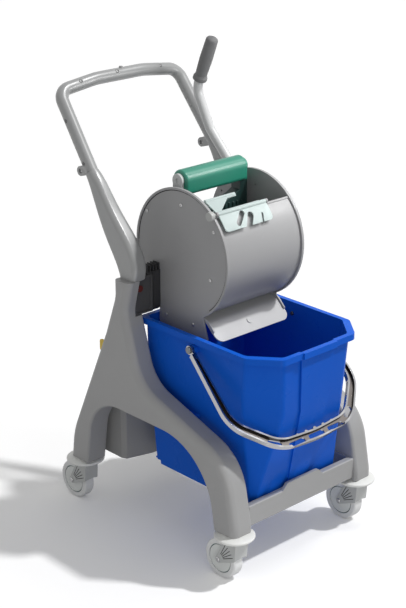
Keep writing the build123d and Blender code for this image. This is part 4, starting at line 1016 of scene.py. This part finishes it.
@dataclass
class CasterSet(SubAssembly):
    """Four swivel casters with a thin coloured ring in each wheel's groove."""

    ring: bpy.types.Material
    shade: bpy.types.Material
    arm_out: float = 18.5
    groove_depth: float = 1.2
    ring_r: float = 30.9
    ring_w: float = 1.9
    ring_depth: float = 0.7
    groove_in: float = 3.1
    groove_slack: float = 0.2
    skin_slack: float = 0.25
    fork_ease: float = 0.2
    bumper_ease: float = 0.6
    wheel_ease: float = 0.3
    axle_ease: float = 0.2
    ring_sides: int = 64
    ring_ease: float = 0.15

    def build(self) -> None:
        """Ease the forks and bumpers, smooth the wheels and add the rings."""
        for corner in Corner:
            name = corner.value
            self._fork(name)
            self.ease_nodes(
                {
                    f"{name}_bumper": self.bumper_ease,
                    f"{name}_wheel": self.wheel_ease,
                    f"{name}_tyre": SMOOTH_ONLY,
                    f"{name}_axle": self.axle_ease,
                }
            )
            self._rings(name)

    def _fork(self, name: str) -> None:
        """Ease a fork and paint shade into the grooves in its arms.

        Args:
            name: The caster's name.
        """
        fork = self.ease_node(f"{name}_fork", self.fork_ease, tight=True)
        low, high = (Vector(c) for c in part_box(f"{name}_tyre"))
        middle = (low.x + high.x) / 2
        deep = (self.arm_out - self.groove_depth - self.groove_slack) * MM
        near = (self.arm_out - self.skin_slack) * MM
        # Painted shade: faces at the depth of the arm grooves take the dark groove material.
        Bench.tint(fork, self.shade, lambda spot: deep < abs(spot.x - middle) < near)

    def _rings(self, name: str) -> None:
        """Lay a ring in the groove on both sides of one wheel.

        Args:
            name: The caster's name.
        """
        low, high = (Vector(c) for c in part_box(f"{name}_tyre"))
        centre = (low + high) / 2
        half = (high.x - low.x) / 2
        places = []
        for side in (-1.0, 1.0):
            spot = centre + Vector((side * (half - self.groove_in * MM), 0.0, 0.0))
            places.append(Bench.aim(spot, Vector((side, 0.0, 0.0))))
        rings = Bench.copies(self._ring(), places, f"{name}_wheel_rings")
        self.fit(rings, f"{name}_roller", "wheel_grey", self.ring)

    def _ring(self) -> bpy.types.Object:
        """Model a flat ring with eased edges from a circle drawn out and up.

        Returns:
            The ring on the origin, facing up.
        """
        bpy.ops.object.select_all(action="DESELECT")
        bpy.ops.mesh.primitive_circle_add(
            vertices=self.ring_sides, radius=self.ring_r * MM, fill_type="NOTHING"
        )
        ring = bpy.context.object
        grow = (self.ring_r + self.ring_w) / self.ring_r
        bpy.ops.object.mode_set(mode="EDIT")
        bpy.ops.mesh.select_all(action="SELECT")
        bpy.ops.mesh.extrude_edges_move()
        bpy.ops.transform.resize(value=(grow, grow, 1.0))
        bpy.ops.mesh.select_all(action="SELECT")
        bpy.ops.mesh.extrude_region_move(
            TRANSFORM_OT_translate={"value": (0.0, 0.0, self.ring_depth * MM)}
        )
        bpy.ops.mesh.select_all(action="SELECT")
        bpy.ops.mesh.normals_make_consistent(inside=False)
        bpy.ops.object.mode_set(mode="OBJECT")
        Bench.ease(ring, self.ring_ease * MM, 2)
        return ring


@dataclass
class BucketSet(SubAssembly):
    """The bucket with its pins and its bright bail, with a painted dark reflection in the channel
    along its top.
    """

    groove: bpy.types.Material
    pivot: tuple[float, float] = (-100.5, 472.0)
    droop: float = 38.5
    band_h: float = 11.0
    groove_depth: float = 7.0
    shell_ease: float = 1.2
    bail_ease: float = 0.8
    pin_ease: float = 0.6
    groove_slack: float = 0.6

    def build(self) -> None:
        """Ease the bucket and the bail and paint a dark reflection into the bail's channel."""
        self.ease_nodes({"bucket": self.shell_ease, "bail_pins": self.pin_ease}, tight=True)
        bail = self.ease_node("bail", self.bail_ease, tight=True)
        # Painted reflection: faces on the channel's floor and mid-wall take the dark groove
        # material.
        Bench.tint(bail, self.groove, self._in_groove)

    def _in_groove(self, spot: Vector) -> bool:
        """Tell whether a face of the bail lies in its channel.

        Args:
            spot: The face's middle.

        Returns:
            True at the height of the channel's floor or of the middle of its walls.
        """
        droop = math.radians(self.droop)
        up = Vector((0.0, -math.sin(droop), math.cos(droop)))
        height = (spot - Vector((0.0, *self.pivot)) * MM).dot(up)
        floor = self.band_h / 2 - self.groove_depth
        wall = floor + self.groove_depth / 2
        return any(abs(height - level * MM) < self.groove_slack * MM for level in (floor, wall))


@dataclass
class WringerDrum(SubAssembly):
    """The fixed half of the wringer: drum, tray, squeeze plate and hangers."""

    shade: bpy.types.Material
    sheet_ease: float = 0.8
    guide_ease: float = 0.4
    bush_ease: float = 0.3
    axis: tuple[float, float] = (-18.0, 653.0)
    rim_r: float = 143.0
    face_x: float = 112.0
    bead_w: float = 5.0
    shadow_strip_w: float = 2.2
    shadow_strip_h: float = 0.5
    shadow_strip_turn: float = -231.0
    shadow_strip_steps: int = 120

    def build(self) -> None:
        """Ease the drum's sheets and fittings and draw a dark strip of painted shadow inside each
        plate's rim.
        """
        self.ease_nodes(
            {
                "wringer_left_plate": self.sheet_ease,
                "wringer_right_plate": self.sheet_ease,
                "squeeze_plate": self.sheet_ease,
                "left_jaw_guide": self.guide_ease,
                "right_jaw_guide": self.guide_ease,
                "shaft_bushes": self.bush_ease,
                "drip_tray": SMOOTH_ONLY,
            }
        )
        close = ("drum_front_wall", "left_hanger", "right_hanger")
        self.ease_nodes({node: self.sheet_ease for node in close}, tight=True)
        for side, name in ((-1.0, "left"), (1.0, "right")):
            # Painted shadow: a dark strip inside each plate's rim stands for the shade beside its
            # bead.
            shadow_strip = self._rim_shadow_strip(side)
            shadow_strip.name = f"{name}_plate_rim_shadow"
            self.fit(shadow_strip, "wringer", "drum_grey", self.shade)

    def _rim_shadow_strip(self, side: float) -> bpy.types.Object:
        """Draw a painted shadow at the foot of a plate's rim, a thin dark strip spun round the
        drum.

        Args:
            side: -1 for the left plate, 1 for the right one.

        Returns:
            The strip of painted shadow.
        """
        radius = self.rim_r - self.bead_w - self.shadow_strip_w / 2
        bpy.ops.object.select_all(action="DESELECT")
        bpy.ops.mesh.primitive_plane_add(size=1.0)
        shadow_strip = bpy.context.object
        shadow_strip.scale = (self.shadow_strip_h * MM, self.shadow_strip_w * MM, 1.0)
        shadow_strip.location = (side * self.face_x * MM, (self.axis[0] + radius) * MM, self.axis[1] * MM)
        bpy.ops.object.transform_apply(location=True, rotation=True, scale=True)
        bpy.ops.object.mode_set(mode="EDIT")
        bpy.ops.mesh.select_all(action="SELECT")
        bpy.ops.mesh.spin(
            steps=self.shadow_strip_steps,
            angle=math.radians(self.shadow_strip_turn),
            center=(0.0, self.axis[0] * MM, self.axis[1] * MM),
            axis=(1.0, 0.0, 0.0),
        )
        bpy.ops.mesh.select_all(action="SELECT")
        bpy.ops.mesh.remove_doubles(threshold=MERGE * MM)
        bpy.ops.mesh.normals_make_consistent(inside=False)
        bpy.ops.object.mode_set(mode="OBJECT")
        bpy.ops.object.shade_smooth_by_angle(angle=math.radians(ROUND_ANGLE))
        return shadow_strip


@dataclass
class PressJaw(SubAssembly):
    """The moving half of the wringer: jaw, its web under the bar painted dark as shade, caps and
    racks.
    """

    web: bpy.types.Material
    jaw_ease: float = 0.8
    cap_ease: float = 1.0
    rack_ease: float = 0.3
    bar_low: float = 772.5

    def build(self) -> None:
        """Ease the jaw's pieces and paint shade onto the web under its bar."""
        for node, width in (("press_jaw", self.jaw_ease), ("right_jaw_cap", self.cap_ease)):
            piece = self.ease_node(node, width)
            Bench.split_level(piece, self.bar_low * MM)
            # Painted shade: faces below the bar take the dark web material.
            Bench.tint(piece, self.web, lambda spot: spot.z < self.bar_low * MM)
        self.ease_nodes(
            {
                "left_jaw_cap": self.cap_ease,
                "left_rack": self.rack_ease,
                "right_rack": self.rack_ease,
            }
        )


@dataclass
class MopFlap(SubAssembly):
    """The frosted flap on the drum's lip, its inner wing cut back to a bar and a gusset."""

    bar_end: float = -18.0
    bar_front: float = -85.5
    hub_back: float = -112.8
    gusset_from: tuple[float, float] = (-92.0, -116.0)
    gusset_to: tuple[float, float] = (-52.8, -91.4)
    deep: float = 740.0
    high: float = 800.0
    reach: float = 60.0
    past_bar: float = 1.0
    flap_ease: float = 0.3

    def build(self) -> None:
        """Cut the wing back and ease the flap and its rod."""
        flap = Bench.copy_node("mop_flap", "mop_flap_moulding")
        low, high = (self.bar_end, self.hub_back, self.deep), (self.reach, -self.reach, self.high)
        Bench.cut(flap, Bench.block(low, high))
        Bench.cut(flap, self._window())
        Bench.ease(flap, self.flap_ease * MM, 2)
        self.settle(flap, "mop_flap")
        self.ease_nodes({"flap_rod": SMOOTH_ONLY})

    def _window(self) -> bpy.types.Object:
        """Cutter for the open part of the wing, its left side slanted along the gusset.

        Returns:
            The cutter.
        """
        cutter = Bench.block(
            (self.gusset_from[0], self.hub_back, self.deep),
            (self.bar_end + self.past_bar, self.bar_front, self.high),
        )
        run = Vector((*self.gusset_to, 0.0)) - Vector((*self.gusset_from, 0.0))
        Bench.only(cutter)
        bpy.ops.object.mode_set(mode="EDIT")
        bpy.ops.mesh.select_all(action="SELECT")
        bpy.ops.mesh.bisect(
            plane_co=(self.gusset_from[0] * MM, self.gusset_from[1] * MM, self.deep * MM),
            plane_no=Vector((-run.y, run.x, 0.0)).normalized(),
            use_fill=True,
            clear_outer=True,
        )
        bpy.ops.object.mode_set(mode="OBJECT")
        return cutter


@dataclass
class LeverDrive(SubAssembly):
    """The lever with its hub, shaft, pinions and grip."""

    hub_ease: float = 1.0
    round_ease: float = 0.5
    pinion_ease: float = 0.2

    def build(self) -> None:
        """Ease the hub and smooth the tube, the grip and the shaft."""
        self.ease_node("lever_hub", self.hub_ease, tight=True)
        self.ease_nodes(
            {
                "lever_tube": SMOOTH_ONLY,
                "lever_grip": self.round_ease,
                "drive_shaft": self.round_ease,
                "left_pinion": self.pinion_ease,
                "right_pinion": self.pinion_ease,
            }
        )


def slot_of(node: str) -> str:
    """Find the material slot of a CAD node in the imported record.

    Args:
        node: The CAD node.

    Returns:
        The slot's name.
    """
    return next(p["material_slot"] for p in frame["record"]["subparts"] if p["node"] == node)


def body_of(node: str) -> str:
    """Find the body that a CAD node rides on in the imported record.

    Args:
        node: The CAD node.

    Returns:
        The body's name.
    """
    return next(b for b, nodes in frame["record"]["behaviour"]["bodies"].items() if node in nodes)


@dataclass(frozen=True)
class Softbox:
    """A square lamp that looks at a point."""

    name: str
    target: Point
    way: Point
    distance: float
    size: float
    level: float

    def build(self) -> None:
        """Hang the lamp; its level is what it adds to a white face turned to it."""
        lamp = bpy.data.lights.new(self.name, "AREA")
        lamp.size = self.size
        lamp.energy = self.level * math.pi**2 * self.distance**2
        box = bpy.data.objects.new(self.name, lamp)
        way = Vector(self.way).normalized()
        box.location = Vector(self.target) + way * self.distance
        box.rotation_euler = (-way).to_track_quat("-Z", "Y").to_euler()
        box.visible_camera = False
        bpy.context.scene.collection.objects.link(box)


@dataclass
class Studio:
    """White studio with a key from the front right, two softboxes and the photograph's camera."""

    camera_place: Point = (-2.1457, -2.2556, 1.6981)
    camera_turn: Point = (69.02, 0.0, -43.13)
    lens: float = 89.5
    sensor: float = 36.0
    floor_reach: float = 60.0
    floor_white: float = 0.99
    floor_bounce: float = 0.5
    floor_lift: float = 0.09
    key_strength: float = 1.95
    key_way: Point = (-0.437, 0.358, -0.824)
    key_softness: float = 3.0
    world_strength: float = 0.42
    boxes: tuple[Softbox, ...] = (
        Softbox(
            "jaw_softbox", target=(-0.02, 0.01, 0.81), way=(0.62, -0.66, 0.42),
            distance=0.6, size=0.2, level=0.55,
        ),
        Softbox(
            "low_softbox", target=(-0.1, -0.22, 0.06), way=(-0.50, -0.85, 0.12),
            distance=0.9, size=0.5, level=0.20,
        ),
    )

    def build(self) -> None:
        """Set up the view, the light, the floor and the camera."""
        bpy.context.scene.view_settings.view_transform = "Standard"
        self._world()
        self._floor()
        self._key()
        for box in self.boxes:
            box.build()
        self._camera()

    def _world(self) -> None:
        """Even white light all round, and plain white wherever the camera sees past the floor."""
        world = bpy.data.worlds.new("studio_white")
        bpy.context.scene.world = world
        world.use_nodes = True
        tree = world.node_tree
        light = tree.nodes["Background"]
        light.inputs["Strength"].default_value = self.world_strength
        light.inputs["Color"].default_value = (1.0, 1.0, 1.0, 1.0)
        seen = tree.nodes.new("ShaderNodeBackground")
        seen.inputs["Strength"].default_value = 1.0
        seen.inputs["Color"].default_value = (1.0, 1.0, 1.0, 1.0)
        mix = tree.nodes.new("ShaderNodeMixShader")
        tree.links.new(self._white_rays(tree), mix.inputs["Fac"])
        tree.links.new(light.outputs["Background"], mix.inputs[1])
        tree.links.new(seen.outputs["Background"], mix.inputs[2])
        tree.links.new(mix.outputs["Shader"], tree.nodes["World Output"].inputs["Surface"])

    @staticmethod
    def _white_rays(tree: bpy.types.NodeTree) -> bpy.types.NodeSocket:
        """One for rays that see the background: camera, glossy and transmitted ones.

        Args:
            tree: The node tree to add to.

        Returns:
            The socket with the largest of the three.
        """
        rays = tree.nodes.new("ShaderNodeLightPath")
        total = rays.outputs["Is Camera Ray"]
        for kind in ("Is Glossy Ray", "Is Transmission Ray"):
            larger = tree.nodes.new("ShaderNodeMath")
            larger.operation = "MAXIMUM"
            tree.links.new(total, larger.inputs[0])
            tree.links.new(rays.outputs[kind], larger.inputs[1])
            total = larger.outputs["Value"]
        return total

    def _floor(self) -> None:
        """White floor that keeps the trolley's shadow and throws half of its light back up."""
        bpy.ops.object.select_all(action="DESELECT")
        bpy.ops.mesh.primitive_plane_add(size=self.floor_reach)
        floor = bpy.context.object
        floor.name = "studio_floor"
        material = bpy.data.materials.new("studio_floor_white")
        material.use_nodes = True
        tree = material.node_tree
        tree.nodes.remove(tree.nodes["Principled BSDF"])
        white = self._white_rays(tree)
        shade = tree.nodes.new("ShaderNodeMix")
        shade.data_type = "RGBA"
        for name, grey in (("A", self.floor_bounce), ("B", self.floor_white)):
            shade.inputs[name].default_value = (grey, grey, grey, 1.0)
        tree.links.new(white, shade.inputs["Factor"])
        matt = tree.nodes.new("ShaderNodeBsdfDiffuse")
        tree.links.new(shade.outputs["Result"], matt.inputs["Color"])
        glow = tree.nodes.new("ShaderNodeEmission")
        scale = tree.nodes.new("ShaderNodeMath")
        scale.operation = "MULTIPLY"
        scale.inputs[1].default_value = self.floor_lift
        tree.links.new(white, scale.inputs[0])
        tree.links.new(scale.outputs["Value"], glow.inputs["Strength"])
        both = tree.nodes.new("ShaderNodeAddShader")
        tree.links.new(matt.outputs["BSDF"], both.inputs[0])
        tree.links.new(glow.outputs["Emission"], both.inputs[1])
        tree.links.new(both.outputs["Shader"], tree.nodes["Material Output"].inputs["Surface"])
        floor.data.materials.append(material)

    def _key(self) -> None:
        """Key lamp from the front right, above."""
        lamp = bpy.data.lights.new("key_lamp", "SUN")
        lamp.energy = self.key_strength
        lamp.angle = math.radians(self.key_softness)
        key = bpy.data.objects.new("key_lamp", lamp)
        key.rotation_euler = Vector(self.key_way).to_track_quat("-Z", "Y").to_euler()
        bpy.context.scene.collection.objects.link(key)

    def _camera(self) -> None:
        """Camera at the photograph's place and angle."""
        data = bpy.data.cameras.new("photo_camera")
        data.lens = self.lens
        data.sensor_fit = "VERTICAL"
        data.sensor_height = self.sensor
        camera = bpy.data.objects.new("photo_camera", data)
        camera.location = self.camera_place
        camera.rotation_euler = [math.radians(a) for a in self.camera_turn]
        bpy.context.scene.collection.objects.link(camera)
        bpy.context.scene.camera = camera


def dress_nodes(materials: dict[str, bpy.types.Material]) -> None:
    """Give every CAD node the finish of its slot.

    Args:
        materials: The finished materials by slot, and by node where a node has its own.
    """
    for node, piece in frame["nodes"].items():
        Bench.paint(piece, materials.get(node, materials[slot_of(node)]))


def main() -> None:
    """Build the finishes, the sub-assemblies and the studio."""
    logging.basicConfig(level=logging.INFO, format="%(name)s: %(message)s")
    effects = EffectLibrary()
    materials = {key: finish.build(effects) for key, finish in (FINISHES | NODE_FINISHES).items()}
    shade = GROOVE_SHADE_GREY.build(effects)
    dress_nodes(materials)
    SideFrames(materials).build()
    PushHandle(materials).build()
    CasterSet(materials, ring=RING_TEAL.build(effects), shade=shade).build()
    BucketSet(materials, groove=GROOVE_REFLECTION_STEEL.build(effects)).build()
    WringerDrum(materials, shade=shade).build()
    PressJaw(materials, web=WEB_SHADE_TEAL.build(effects)).build()
    MopFlap(materials).build()
    LeverDrive(materials).build()
    ScrewSet(materials).build()
    Studio().build()


if __name__ == "__main__":
    main()
